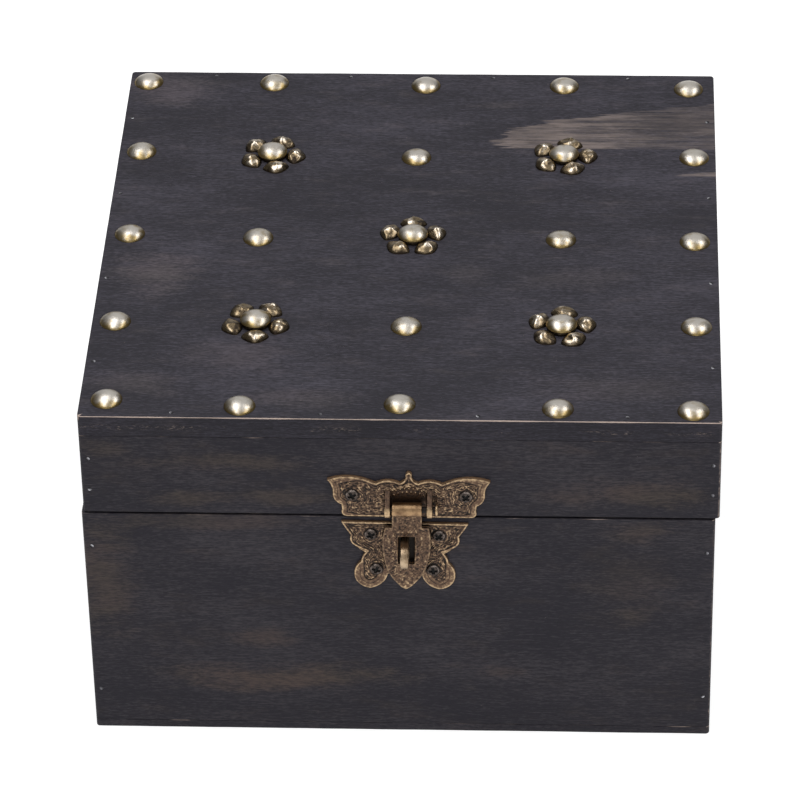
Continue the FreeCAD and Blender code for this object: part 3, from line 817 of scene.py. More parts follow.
@dataclass(frozen=True)
class AgedMetal:
    """Plated or bare metal that was darkened and then rubbed: bright high places and dark hollows.

    Attributes:
        name: Name of the material.
        slot: Material slot of the record; not used.
        bright, body, patina: Colours of the rubbed metal, of most of it and of the hollows.
        rough: Least and greatest roughness.
        spot: Size of tarnish spots, in millimetres.
        grit: Size of the surface's grain, in millimetres.
        bump: Depth of that grain, in millimetres.
        brush: Direction of brush marks, if it has them.
        relief: Whether the point value "shade" says how high each place stands, and on some pieces painted
        light and shade too.
        oxide: Share of bare metal left in the hollows.
        raw: Colour of cut edges, where the point value is below 0.
    """

    name: str
    slot: Slot
    bright: str
    body: str
    patina: str
    rough: Pair
    spot: float = 2.2
    grit: float = 0.35
    bump: float = 0.02
    brush: Grain | None = None
    relief: bool = False
    oxide: float = 0.5
    raw: str = "957558"

    @cached_property
    def material(self) -> bpy.types.Material:
        """Node tree of the metal.

        Tarnish is noise on Object coordinates, and grain is finer noise, drawn out along any brush marks.
        With relief, the colour goes from patina through body to bright as the point value rises, and the
        patina is rougher and less metallic.

        Returns:
            The material.
        """
        tree = NodeTree(bpy.data.materials.new(self.name))
        place = tree.add("TexCoord", out="Object")
        size = [self.grit] * 3
        if self.brush is not None:
            size[self.brush.value] = BRUSH_LENGTH * self.grit
        stretched = tree.add("Mapping", {
            "Vector": place, "Scale": [1.0 / (MM * length) for length in size]})
        spots = tree.add("TexNoise", {
            "Vector": place, "Scale": 1.0 / (MM * self.spot), "Detail": 4.0, "Roughness": 0.6})
        grain = tree.add("TexNoise", {"Vector": stretched, "Scale": 1.0, "Detail": 2.0})
        low, high = self.rough
        rough = tree.add("MapRange", {
            "Value": grain, "From Min": 0.3, "From Max": 0.7, "To Min": low, "To Max": high}, **SMOOTH)
        metallic = 1.0
        if self.relief:
            level = tree.add("Attribute", out="Fac", attribute_name="shade")
            blotch = tree.add("MapRange", {
                "Value": spots, "From Min": 0.3, "From Max": 0.7, "To Min": -0.15, "To Max": 0.15}, **SMOOTH)
            rise = tree.add("Math", {0: level, 1: blotch}, **PLUS)
            clear = tree.add("MapRange", {"Value": rise, "From Min": 0.05, "From Max": 0.5}, **SMOOTH)
            crest = tree.add("MapRange", {"Value": rise, "From Min": 0.5, "From Max": 1.0}, **SMOOTH)
            cut = tree.add("MapRange", {"Value": level, "From Min": -0.1, "From Max": -0.3}, **SMOOTH)
            colour = tree.add("Mix", {0: crest, 6: linear(self.body), 7: linear(self.bright)}, **BLEND)
            colour = tree.add("Mix", {0: clear, 6: linear(self.patina), 7: colour}, **BLEND)
            colour = tree.add("Mix", {0: cut, 6: colour, 7: linear(self.raw)}, **BLEND)
            bare = tree.add("MapRange", {"Value": clear, "To Min": self.oxide})
            plain = tree.add("MapRange", {"Value": cut, "To Min": 1.0, "To Max": 0.5})
            metallic = tree.add("Math", {0: bare, 1: plain}, **TIMES)
            dull = tree.add("MapRange", {"Value": clear, "To Min": 0.2, "To Max": 0.0})
            rough = tree.add("Math", {0: rough, 1: dull}, **PLUS)
        else:
            dim = tree.add("MapRange", {"Value": spots, "From Min": 0.35, "From Max": 0.68}, **SMOOTH)
            black = tree.add("MapRange", {
                "Value": spots, "From Min": 0.62, "From Max": 0.74, "To Max": 0.6}, **SMOOTH)
            colour = tree.add("Mix", {0: dim, 6: linear(self.bright), 7: linear(self.body)}, **BLEND)
            colour = tree.add("Mix", {0: black, 6: colour, 7: linear(self.patina)}, **BLEND)
        bump = tree.add("Bump", {"Height": grain, "Strength": 0.5, "Distance": self.bump * MM})
        shader = tree.add("BsdfPrincipled", {
            "Base Color": colour, "Metallic": metallic, "Roughness": rough, "Normal": bump})
        tree.add("OutputMaterial", {"Surface": shader})
        return tree.owner


# Antique brass plate on stamped steel: pale greyish gold with soft bright reflections
NAIL_BRASS = AgedMetal(
    "antique_brass_plate_stamped", Slot.BRASS, "d1cbc2", "9b8659", "5a4a2e", (0.30, 0.35), spot=3.0,
    grit=0.5, bump=0.002, relief=True)
# Bronze sheet pressed into petals and blackened: brown hollows and pale rubbed ridges
PETAL_BRONZE = AgedMetal(
    "blackened_bronze_pressed", Slot.BRONZE, "d8ccbc", "83735b", "30271e", (0.20, 0.30), spot=1.4,
    grit=0.4, bump=0.008, relief=True, oxide=0.85)
# Cast zinc with an antique bronze plate: brown with golden rubbed ridges and rims, and painted highlights
# and shade on some parts
HASP_BRONZE = AgedMetal(
    "antique_bronze_plate_cast", Slot.BRONZE, "c6aa86", "604d40", "1c1510", (0.30, 0.46), spot=1.2,
    grit=0.3, bump=0.025, relief=True)
# The same plate, brushed smooth on the tongue's barrel
BRUSHED_BRONZE = AgedMetal(
    "antique_bronze_plate_brushed", Slot.BRONZE, "aa8b69", "7e644b", "3c2c1f", (0.26, 0.42), spot=2.5,
    grit=0.3, bump=0.012, brush=Grain.ALONG_X)
# The same plate on the staple, rubbed paler by the tongue
STAPLE_BRONZE = AgedMetal(
    "antique_bronze_plate_rubbed", Slot.BRONZE, "bda78b", "8c765e", "3f3024", (0.26, 0.42), spot=2.5,
    grit=0.3, bump=0.012, brush=Grain.ALONG_Y)
# Stamped steel hinge leaves with the same bronze plate
HINGE_BRONZE = AgedMetal(
    "antique_bronze_plate_rolled", Slot.BRONZE, "9c8158", "6f5a3c", "3a2d1c", (0.28, 0.44), spot=3.5,
    grit=0.4, bump=0.015, brush=Grain.ALONG_X)
# Steel screws blackened by heat and oil: dark grey with a faint sheen
SCREW_STEEL = AgedMetal(
    "blackened_steel_turned", Slot.BLACK_STEEL, "8c817a", "544b46", "050404", (0.34, 0.5), spot=1.2,
    grit=0.25, relief=True)
# Drawn steel wire of the hinge pins, dulled by handling
WIRE_STEEL = AgedMetal(
    "drawn_steel_wire", Slot.STEEL, "929092", "646264", "2c2b2c", (0.32, 0.5), spot=0.8, grit=0.2)
# The same wire as brad heads, mostly stained over, with a painted glint across part of each head
BRAD_STEEL = AgedMetal(
    "drawn_steel_wire_stained", Slot.STEEL, "c4c4c8", "6c6b70", "1c1b1e", (0.3, 0.45), spot=0.5,
    grit=0.2, relief=True)


# Boards


@dataclass
class Case:
    """Boards of the lid and the base, each a rounded prism in the place of its solid.

    Attributes:
        corner_radius: Radius of the case's upright corners.
        butt_radius: Radius of the upright edges that meet another board.
        edge_radius: Radius of every other edge.
        uneven: Share of the edge radius that comes and goes along an edge.
        plain_wear: Level of the wear on most edges, and the noise in it, as for the other kinds of wear.
        rubbed_board: Board with the palest edge.
        handled_boards: Boards whose front edges are handled most.
        finishes: Finish of each lying board, and of the walls.
    """

    corner_radius: float = 1.2
    butt_radius: float = 0.5
    edge_radius: float = 0.3
    uneven: float = 0.35
    uneven_length: float = 6.0
    wear_length: float = 9.0
    pitch: float = 4.0
    plain_wear: Pair = (0.40, 0.4)
    rubbed_wear: Pair = (1.12, 0.14)
    rubbed_depth: float = 1.0
    handled_wear: Pair = (0.5, 0.34)
    handled_corner_wear: Pair = (1.0, 0.35)
    rubbed_board: str = "lid_top_board"
    handled_boards: tuple[str, ...] = ("lid_front_wall", "base_front_wall", "base_floor_board")
    flat_scales: tuple[float, ...] = (0.997, 0.985, 0.96, 0.9, 0.7, 0.4)
    end_scales: tuple[float, ...] = (0.999,)
    finishes: dict[str, StainedWood] = field(default_factory=lambda: {
        "lid_top_board": StainedWood(
            "ebony_stained_plywood_lid_top", Grain.ALONG_X, (0.0, 0.0, 0.0), True,
            (BareStreak((26.0, 54.3), 13.0, 5.5, 0.2, 0.39, (28.0, 62.0)),
             BareStreak((89.0, 38.2), 2.2, 6.0, 0.02, 0.45, (40.0, 60.0))),
            (RubbedPatch(-80.0, -20.0, 16.0, 15.0, 0.5), RubbedPatch(-83.0, -82.0, 16.0, 8.0, 0.3),
             RubbedPatch(-52.0, -67.0, 20.0, 12.0, 0.26), RubbedPatch(-30.0, -90.0, 22.0, 6.0, 0.3),
             RubbedPatch(54.0, -22.0, 22.0, 7.0, 0.22), RubbedPatch(-84.0, 89.0, 18.0, 12.0, 0.4),
             RubbedPatch(19.0, -20.0, 9.0, 8.0, 0.2), RubbedPatch(66.0, -82.0, 30.0, 9.0, 0.2)),
            core=(120.6, 122.4), stain="28262d", thin_stain="4c4953", rubbed="675f5f", rubbed_red="6a5f62"),
        "lid_front_wall": StainedWood(
            "ebony_stained_plywood_lid_front", Grain.ALONG_X, (31.0, 7.0, 5.0), patches=(
                RubbedPatch(-52.0, 108.5, 33.0, 4.0, 0.55), RubbedPatch(-66.0, 94.0, 16.0, 4.0, 0.55),
                RubbedPatch(-35.0, 94.5, 15.0, 3.5, 0.5), RubbedPatch(80.0, 97.0, 19.0, 6.5, 0.65),
                RubbedPatch(-90.0, 113.0, 10.0, 3.5, 0.4), RubbedPatch(55.0, 96.0, 16.0, 4.0, 0.4))),
        "lid_side_wall": StainedWood(
            "ebony_stained_plywood_lid_sides", Grain.ALONG_Y, (11.0, 3.0, 9.0), patches=(
                RubbedPatch(-62.0, 95.0, 24.0, 5.0, 0.5), RubbedPatch(38.0, 107.0, 30.0, 4.0, 0.4))),
        "base_front_wall": StainedWood(
            "ebony_stained_plywood_base_front", Grain.ALONG_X, (73.0, 2.0, 41.0), patches=(
                RubbedPatch(-40.0, 21.5, 41.0, 6.5, 0.8), RubbedPatch(-94.0, 60.0, 12.0, 26.0, 0.6),
                RubbedPatch(-60.0, 85.0, 40.0, 4.0, 0.4), RubbedPatch(-43.0, 38.0, 11.0, 4.5, 0.5),
                RubbedPatch(74.0, 49.0, 9.0, 5.0, 0.45), RubbedPatch(75.0, 82.0, 12.0, 5.0, 0.5),
                RubbedPatch(72.0, 62.0, 16.0, 12.0, 0.3), RubbedPatch(32.0, 25.0, 9.0, 3.5, 0.4))),
        "base_side_wall": StainedWood(
            "ebony_stained_plywood_base_sides", Grain.ALONG_Y, (17.0, 29.0, 13.0), patches=(
                RubbedPatch(-30.0, 26.0, 36.0, 6.0, 0.6), RubbedPatch(58.0, 58.0, 22.0, 8.0, 0.45),
                RubbedPatch(-84.0, 70.0, 12.0, 14.0, 0.45), RubbedPatch(24.0, 84.0, 34.0, 4.0, 0.4))),
        "base_floor_board": StainedWood(
            "ebony_stained_plywood_floor", Grain.ALONG_X, (5.0, 19.0, 3.0), True),
    })

    def build(self) -> None:
        """Build and dress all ten boards."""
        outer = self.corner_radius
        butt = self.butt_radius
        walls = {
            "_front_wall": ("_front_wall", (outer, outer, butt, butt)),
            "_back_wall": ("_front_wall", (butt, butt, outer, outer)),
            "_left_wall": ("_side_wall", (butt,) * 4),
            "_right_wall": ("_side_wall", (butt,) * 4),
        }
        for body, flat in (("lid", "lid_top_board"), ("base", "base_floor_board")):
            self.board(flat, body, (outer,) * 4, self.flat_scales, self.finishes[flat])
            for wall, (finish, radii) in walls.items():
                self.board(body + wall, body, radii, self.end_scales, self.finishes[body + finish])

    def board(self, node: str, body: str, radii: Sequence[float], caps: Sequence[float],
              finish: StainedWood) -> None:
        """Build one board: a rounded rectangle in plan, carried up with edges rubbed unevenly by hand.

        Noise along the outline changes the edge radius, and noise in plan changes the wear of the edges.

        Args:
            node: CAD node that gives the board's box and that it stands for.
            body: CAD body that it rides on.
            radii: Corner radii in plan.
            caps: Scales of the rings over the flats.
            finish: Finish of the board.
        """
        low, high = node_box(node)
        outline = rounded_rectangle(low[:2], high[:2], radii, self.pitch)
        seed = sum(node.encode())
        along = outline.points.sum(axis=1) / self.uneven_length
        rubbed = self.edge_radius * (1.0 + self.uneven * Lattice(seed).at(along, np.zeros_like(along)))
        rows = max(4, int((high[2] - low[2]) / self.pitch))
        rings, wear = prism(outline, low[2], high[2], np.minimum(rubbed, min(radii)), rows, caps)
        x, y, z = np.moveaxis(rings, -1, 0)
        noise = Lattice(seed + 1).over(rings, self.wear_length, 0.0)

        def worn(level: Pair) -> Array:
            """Wear at a level, with noise in it."""
            return wear * (level[0] + level[1] * noise)

        shade = worn(self.plain_wear)
        fore = y < low[1] + self.corner_radius
        if node == self.rubbed_board:
            shade = np.where(fore & (z > high[2] - self.rubbed_depth), worn(self.rubbed_wear), shade)
        elif node in self.handled_boards:
            right = x > high[0] - self.corner_radius
            handled = np.where(right, worn(self.handled_corner_wear), worn(self.handled_wear))
            shade = np.where(fore, handled, shade)
        shell = Shell()
        shell.add(rings, shade)
        shell.piece(node + "_wood", body, finish, node)


# Nails, brads and rosettes


@dataclass
class LidFittings:
    """Dome nails on a five by five grid, and the rosettes under five of them.

    Attributes:
        width: Lid's width and depth.
        shift: Lid's middle, off the base's middle.
        edge_inset: Outer nails, from the lid's edge.
        set_out: Inner nails, out from half way.
        lean: Greatest slope of a head that was knocked askew.
        dent: Depth and size of its dents.
        mottle: Depth and size of the spots in its shade.
        hub_height: Height of a rosette's hub, on which its nail sits.
        petal_circle: Distance of a petal's middle from the nail.
        wander: Distance that each nail was knocked off its grid point.
        flowers: Grid point and turn in degrees of each rosette.
    """

    width: float = 200.0
    shift: float = 1.0
    top: float = 125.5
    edge_inset: float = 7.5
    set_out: float = 2.7
    grid: int = 5
    head_radius: float = 5.0
    head_height: float = 2.2
    lean: float = 0.045
    dent: Pair = (0.035, 2.6)
    mottle: Pair = (0.12, 1.7)
    hub_radius: float = 4.8
    hub_height: float = 1.5
    # Shade value of the hub: dark, as painted shade under the nail's head
    hub_painted_shade: float = 0.1
    petal_circle: float = 7.9
    petal_half_length: float = 3.4
    petal_half_width: float = 4.4
    petal_rise: float = 2.3
    petal_count: int = 5
    # Both tables name a grid point by its row from the back and its column from the left
    wander: dict[tuple[int, int], Pair] = field(default_factory=lambda: {
        (0, 0): (-1.2, 0.8), (0, 1): (-1.5, 0.5), (0, 2): (1.6, -0.3), (0, 4): (-1.2, -1.4),
        (1, 0): (0.0, 0.8), (1, 1): (0.6, -0.8), (1, 2): (0.0, -1.5), (1, 3): (0.4, -0.7),
        (1, 4): (0.3, -0.4), (2, 0): (0.3, 0.6), (2, 1): (-1.0, -1.0), (2, 2): (0.6, 0.0),
        (2, 3): (0.0, -0.6), (2, 4): (0.0, -1.2), (3, 1): (1.3, 0.0), (3, 2): (0.4, -1.3),
        (3, 3): (0.8, -1.2), (4, 0): (1.0, 1.5), (4, 1): (-0.8, -1.2), (4, 2): (0.0, 0.5),
        (4, 3): (0.2, -1.0), (4, 4): (-1.4, -1.5),
    })
    flowers: dict[str, tuple[tuple[int, int], float]] = field(default_factory=lambda: {
        "rosette_back_left": ((1, 1), 12.0),
        "rosette_back_right": ((1, 3), 22.0),
        "rosette_centre": ((2, 2), 36.0),
        "rosette_front_left": ((3, 1), 2.0),
        "rosette_front_right": ((3, 3), 30.0),
    })

    def place(self, point: tuple[int, int]) -> Array:
        """Place on the lid's top of the nail at a grid point.

        Args:
            point: Row from the back and column from the left.

        Returns:
            Its x, y and z.
        """
        edge = self.width / 2.0 - self.edge_inset
        inner = edge / 2.0 + self.set_out
        steps = (-edge, -inner, 0.0, inner, edge)
        off_x, off_y = self.wander.get(point, (0.0, 0.0))
        return np.array([self.shift + steps[point[1]] + off_x, -steps[point[0]] + off_y, self.top])

    def build(self) -> None:
        """Build and dress the three groups of nails and the five rosettes."""
        points = [(row, column) for row in range(self.grid) for column in range(self.grid)]
        held = [point for point, turn in self.flowers.values()]
        edge = [point for point in points if 0 in point or self.grid - 1 in point]
        inner = [point for point in points if point not in edge and point not in held]
        groups = {"edge": (edge, 0.0), "inner": (inner, 0.0), "rosette": (held, self.hub_height)}
        for name, (group, lift) in groups.items():
            shell = Shell()
            for row, column in group:
                rings, shade = self.nail(7 * row + column)
                shell.add(rings + self.place((row, column)) + (0.0, 0.0, lift), shade)
            shell.piece(name + "_dome_nails_brass", "lid", NAIL_BRASS, name + "_dome_nails")
        for seed, (name, (point, turn)) in enumerate(self.flowers.items()):
            shell = Shell()
            for petal, angle in enumerate(math.radians(turn) + full_turn(self.petal_count)):
                rings, shade = self.petal(10 * seed + petal, float(angle))
                shell.add(rings + self.place(point), shade)
            shell.add(self.hub() + self.place(point), self.hub_painted_shade)
            shell.piece(name + "_bronze", "lid", PETAL_BRONZE, name)

    def nail(self, seed: int) -> tuple[Array, Array]:
        """Dome nail about the origin: a pressed cap over a rolled rim, leant and dented by the hammer.

        At a share s of the radius, the cap's height is the head's height times (1 - s^2.2)^0.66. The shade
        rises with the height to the power 0.8, and noise mottles it: the darker rim and sides are painted
        shade and the pale crown is a painted reflection of the dome.

        Args:
            seed: Seed of its dents.

        Returns:
            Its rings, and a shade that is dark at the rim as painted shade and pale at the crown as a
            painted reflection.
        """
        steps, around = 34, 72
        shoulder, fullness = 2.2, 0.66
        rim_shade, crown_shade, shade_power = 0.36, 0.62, 0.8
        share = np.sin(np.linspace(math.pi / 2.0 * 0.985, 0.01, steps))
        height = self.head_height * (1.0 - share ** shoulder) ** fullness
        cap = np.column_stack([self.head_radius * share, height])
        rim = self.head_radius * np.array([[0.86, 0.0], [0.96, 0.0], [0.99, 0.006]])
        rings = revolved(np.concatenate([rim, cap]), around)
        x, y = rings[..., 0], rings[..., 1]
        share = rings[..., 2] / self.head_height
        lean = np.random.default_rng(seed).uniform(-self.lean, self.lean, 2)
        depth, size = self.dent
        dent = depth * Lattice(seed).over(rings, size, 9.0)
        rings[..., 2] += share * (x * lean[0] + y * lean[1] + dent)
        depth, size = self.mottle
        mottle = depth * Lattice(seed + 50).over(rings, size, 5.0)
        # Painted shade darkens the rim and sides, and a painted reflection brightens the crown
        return rings, np.clip(rim_shade + crown_shade * share ** shade_power + mottle, 0.0, 1.0)

    def hub(self) -> Array:
        """Rings of a rosette's hub about the origin: a low disc, bevelled below and rounded above."""
        r, top = self.hub_radius, self.hub_height - 0.02
        profile = [[r - 0.3, 0.0], [r, 0.3], [r - 0.2, top - 0.38], [r - 0.7, top], [1.0, top]]
        return revolved(np.array(profile), 48)

    def petal(self, seed: int, turn: float) -> tuple[Array, Array]:
        """Pressed petal on the lid: a rounded cap with a keel, a cupped hollow, folds and dents.

        At a share r of its half sizes, its height is rise times (1 - r²)^0.6, times a factor of a
        bell-shaped hollow, a thin bell along the keel, cosine folds of the angle about the root and noise.
        Under the nail's head it is kept below the hub's top.

        Args:
            seed: Seed of its shape.
            turn: Angle of the petal round the rosette, from the front.

        Returns:
            Its rings about the nail, and a shade that rises with the cap and with its ridges, partly rubbed
            metal and partly painted shade on the cap's low sides, and that is painted dark at the foot as
            shade.
        """
        swell, taper, fold_count = 0.4, 0.08, 5.0
        nail_clearance, hub_clearance = 0.15, 0.05
        # Shares of the height that are plain, hollowed, in the keel, in the folds and in the dents
        plain, cup, spine, fold, dimple = 0.9, -0.05, 0.10, 0.04, 0.17
        rng = np.random.default_rng(400 + seed)
        off = rng.choice((-0.5, 0.5))
        keel = rng.uniform(-0.2, 0.2)
        phase = rng.uniform(0.0, 6.0)
        angle = full_turn(96)
        radius = np.concatenate([np.linspace(1.0, 0.9, 8), np.linspace(0.88, 0.02, 34)])[:, None]
        v = radius * np.sin(angle)
        u = radius * np.cos(angle) * (1.0 - swell * v ** 2)
        dome = np.clip(1.0 - radius ** 2, 0.0, 1.0) ** 0.6 * np.ones_like(u)
        hollow = np.exp(-((u - 0.1) ** 2 / 0.3 + (v - off) ** 2 / 0.12))
        ridge = np.exp(-((v - keel) / 0.14) ** 2) * smooth_step(-0.9, -0.1, u)
        folds = np.cos(fold_count * np.arctan2(v, u + 1.25) + phase) * radius ** 2
        dent = Lattice(700 + seed).at(1.7 * u + 30.0, 2.3 * v + 30.0)
        shape = cup * hollow + spine * ridge + fold * folds + dimple * dent
        height = self.petal_rise * dome * (plain + shape)
        out = self.petal_circle + u * self.petal_half_length
        side = v * self.petal_half_width * (1.0 - taper * u)
        cos, sin = math.cos(turn), math.sin(turn)
        rings = np.stack([side * cos + out * sin, side * sin - out * cos, height], axis=-1)
        under = np.hypot(rings[..., 0], rings[..., 1]) < self.head_radius + nail_clearance
        rings[..., 2] = np.where(under, np.minimum(height, self.hub_height - hub_clearance), height)
        rings = np.concatenate([rings[:1] * (1.0, 1.0, 0.0), rings])
        blotch = Lattice(500 + seed).at(3.2 * u + 20.0, 3.2 * v + 20.0)
        # Shade rises with the ridges and the cap: partly rubbed metal, partly painted shade on the cap's low
        # sides
        shade = np.clip(0.2 + 1.6 * shape + 0.42 * dome + 0.3 * blotch, 0.0, 1.0)
        # Painted shade: dark at the petal's foot and round its edge, where it meets the lid
        shade = shade * smooth_step(0.0, 0.35, height / self.petal_rise)
        return rings, np.concatenate([np.zeros_like(shade[:1]), shade])


@dataclass
class Brads:
    """Heads of the thin brads that hold the boards, seen flush in the wood.

    Attributes:
        stand: How far a head's rim stands off the wood.
        base_margin: Brads at the base's corners, from its ends.
        lid_margin: Brads at the lid's corners, from the wall's ends.
    """

    head_radius: float = 0.65
    stand: float = 0.06
    wall: float = 5.0
    base_margin: float = 13.0
    lid_margin: float = 9.0

    def build(self) -> None:
        """Build and dress the four groups of brads."""
        lid = node_box("lid_top_board")
        base = node_box("base_floor_board")
        lid_rows = self.rows("lid_front_wall", self.lid_margin)
        base_rows = self.rows("base_front_wall", self.base_margin)
        self.group("lid_top_brads", "lid", self.round_edges(*lid, lid[1][2]), (0.0, 0.0, 1.0))
        self.group("base_floor_brads", "base", self.round_edges(*base, base[0][2]), (0.0, 0.0, -1.0))
        self.group("lid_corner_brads", "lid", self.corners(*lid, lid_rows), None)
        self.group("base_corner_brads", "base", self.corners(*base, base_rows), None)

    def rows(self, wall: str, margin: float) -> Pair:
        """Heights of the brads at a wall's ends, a margin from its lower and upper edges."""
        low, high = node_box(wall)
        return low[2] + margin, high[2] - margin

    def round_edges(self, low: Array, high: Array, level: float) -> Array:
        """Places round a board's four edges, half way between the nails' grid lines.

        Args:
            low: Board's low corner.
            high: Board's high corner.
            level: Height of the face that the brads were driven into.

        Returns:
            Places, as (16, 3).
        """
        fittings = LidFittings()
        middle = (low + high) / 2.0
        half = (high - low)[:2] / 2.0
        reach = half - self.wall / 2.0
        places = []
        for axis in range(2):
            edge = half[axis] - fittings.edge_inset
            inner = edge / 2.0 + fittings.set_out
            steps = np.array([-edge - inner, -inner, inner, edge + inner]) / 2.0
            for side in (-1.0, 1.0):
                group = np.full((4, 3), level)
                group[:, axis] = middle[axis] + steps
                group[:, 1 - axis] = middle[1 - axis] + side * reach[1 - axis]
                places.append(group)
        return np.concatenate(places)

    def corners(self, low: Array, high: Array, rows: Sequence[float]) -> Array:
        """Places at the ends of the front and back walls.

        Args:
            low: Low corner of the case.
            high: High corner of the case.
            rows: Heights of the brads.

        Returns:
            Places, as (8, 3).
        """
        inset = self.wall / 2.0
        ends = (low[0] + inset, high[0] - inset)
        return np.array([(x, y, z) for x in ends for y in (low[1], high[1]) for z in rows])

    def group(self, node: str, body: str, places: Array, facing: Triple | None) -> None:
        """Build one group: dished discs, a rim falling to a shallow middle, set against the wood.

        Args:
            node: CAD node that the group stands for.
            body: CAD body that it rides on.
            places: Where the heads are.
            facing: Direction that they face, or None to face away from the case's middle, front or back.
        """
        profile = np.array([[0.8, -1.0], [1.0, -1.0], [1.0, 0.6], [0.9, 1.0], [0.5, 0.55], [0.2, 0.4]])
        disc = revolved(profile * (self.head_radius, self.stand), 24)
        shell = Shell()
        rng = np.random.default_rng(sum(node.encode()))
        for place in places:
            toward = Vector(facing or (0.0, math.copysign(1.0, place[1]), 0.0))
            turn = np.array(toward.to_track_quat("Z", "Y").to_matrix())
            # Painted glint: each head is bright towards one random side and dark towards the other
            glint = 0.3 + disc[..., :2] @ rng.uniform(-1.0, 1.0, 2) / self.head_radius
            shell.add(disc @ turn.T + place, np.clip(glint, 0.0, 1.0))
        shell.piece(node + "_steel", body, BRAD_STEEL, node)


# Hasp


@dataclass
class ReliefPlate:
    """Cast plate between a lower and an upper edge line, mirrored about its middle, with a raised pattern.

    Attributes:
        lower: Sections of the lower edge, from the middle to the tip.
        upper: Sections of the upper edge that face them.
        columns: Points along each section.
        rows: Points from the lower edge to the upper.
        place: Middle of its datum line on the wall.
        screws: Screw places from the datum, on the right.
        rim: Width of the smooth border where it is narrow.
        wide_rim: Width of the border where it is wide.
        wide_from: Direction from the datum, as x and z shares, and the distances along it over which the
            border widens.
        swirl: How far noise carries the ridges about, in ridges.
        seed: Seed of that noise.
        tilt: Angle that the plate was screwed on at.
        seat: Radius of the flat boss under a screw.
        pitch: Distance between the ridges inside the border.
        edge_radius: Radius of the plate's edge.
        line_share: Place of the line in a wide border, as a share of its width.
        depth: Depth of the pattern between the ridges.
        side_shade: Shade of the sides and back, which are raw.
    """

    lower: Sequence[Array]
    upper: Sequence[Array]
    columns: Sequence[int]
    rows: int
    place: Triple
    screws: Sequence[Pair]
    rim: float
    wide_rim: float
    wide_from: tuple[float, float, float, float]
    swirl: float
    seed: int
    tilt: float
    thickness: float
    seat: float = 2.2
    pitch: float = 0.66
    edge_radius: float = 0.25
    line_share: float = 0.62
    depth: float = 0.22
    side_shade: float = -0.4

    def edge(self, sections: Sequence[Array]) -> Array:
        """Points along the sections of one edge, as many in each as the plate has columns there.

        Args:
            sections: Sections from the middle to the tip.

        Returns:
            Points, as (n, 2).
        """
        runs = [spaced(line, count + 1)[:-1] for line, count in zip(sections, self.columns)]
        return np.concatenate(runs + [sections[-1][-1:]])

    def grid(self) -> Array:
        """Flat grid of the plate: straight lines from the lower edge to the upper, closer near both.

        Returns:
            Points as (lines, rows, 2), from the left tip to the right one.
        """
        low = self.edge(self.lower)
        high = self.edge(self.upper)
        even = np.linspace(0.0, 1.0, self.rows)
        share = (0.6 * even + 0.4 * (0.5 - 0.5 * np.cos(math.pi * even)))[None, :, None]
        right = low[:, None] * (1.0 - share) + high[:, None] * share
        left = right[:0:-1] * (-1.0, 1.0)
        return np.concatenate([left, right])[1:-1]

    def relief(self, spots: Array) -> tuple[Array, Array]:
        """Height of the pattern over the plate's face, and how bright it is rubbed, with a painted highlight
        along the edge.

        The border stands level, then a groove, then ridges: the cosine of the distance to the edge in
        pitches, moved by noise, so that they follow the outline near it and curl further in. Screw seats
        stay level, and the edge is a quarter round.

        Args:
            spots: Places from the datum, as (lines, rows, 2).

        Returns:
            Heights in millimetres, and shades from 0 to 1.
        """
        groove_width, line_width, glint_width = 0.2, 0.16, 0.24
        groove_depth, grit_depth, rim_grit_depth = 0.12, 0.05, 0.012
        rim_shade, low_shade, worm_shade, glint = 0.56, 0.12, 0.6, 0.26
        x, z = np.abs(spots[..., 0]), spots[..., 1]
        outline = np.concatenate([*self.lower, *self.upper])
        away = distance_to(outline, np.stack([x, z], axis=-1))
        right, up, start, end = self.wide_from
        rim = self.rim + (self.wide_rim - self.rim) * smooth_step(start, end, x * right + z * up)
        seat_away = np.min([np.hypot(x - reach, z - rise) for reach, rise in self.screws], axis=0)

        def noise(offset: int, size: float) -> Array:
            """Noise over the whole plate with features of a size in millimetres."""
            return Lattice(self.seed + offset).over(spots, size, 64.0)

        follow = np.minimum(away, 0.8 * seat_away + 0.4)
        phase = follow / self.pitch + self.swirl * (noise(0, 2.6) + 0.8 * noise(1, 1.2))
        ridge = 0.5 + 0.5 * np.cos(math.tau * phase)
        worm = smooth_step(-0.1, 1.2, ridge + 0.7 * noise(2, 0.5))
        grit = noise(3, 0.36)
        inner = smooth_step(rim, rim + 0.3, away)
        border = 1.0 - inner
        groove = np.exp(-((away - rim - 0.1) / groove_width) ** 2)
        wide = smooth_step(0.5, 1.0, (rim - self.rim) / (self.wide_rim - self.rim))
        line = np.exp(-((away - self.line_share * rim) / line_width) ** 2)
        groove = np.maximum(groove, 0.8 * wide * line)
        height = inner * (self.depth * (worm - 0.8) + grit_depth * grit)
        height = height - groove_depth * groove + border * rim_grit_depth * grit
        shade = border * (rim_shade + 0.10 * grit) + inner * (low_shade + worm_shade * worm + 0.14 * grit)
        shade = shade - 0.42 * groove
        boss = 1.0 - smooth_step(self.seat, self.seat + 0.4, seat_away)
        shade = shade * (1.0 - boss) + 0.1 * boss
        # Painted highlight: a bright line along the crest of the rounded edge
        bright = np.exp(-((away - self.edge_radius) / glint_width) ** 2)
        height = height * (1.0 - boss) - rounded_drop(away, self.edge_radius)
        return height, np.clip(shade + glint * bright, 0.0, 1.0)

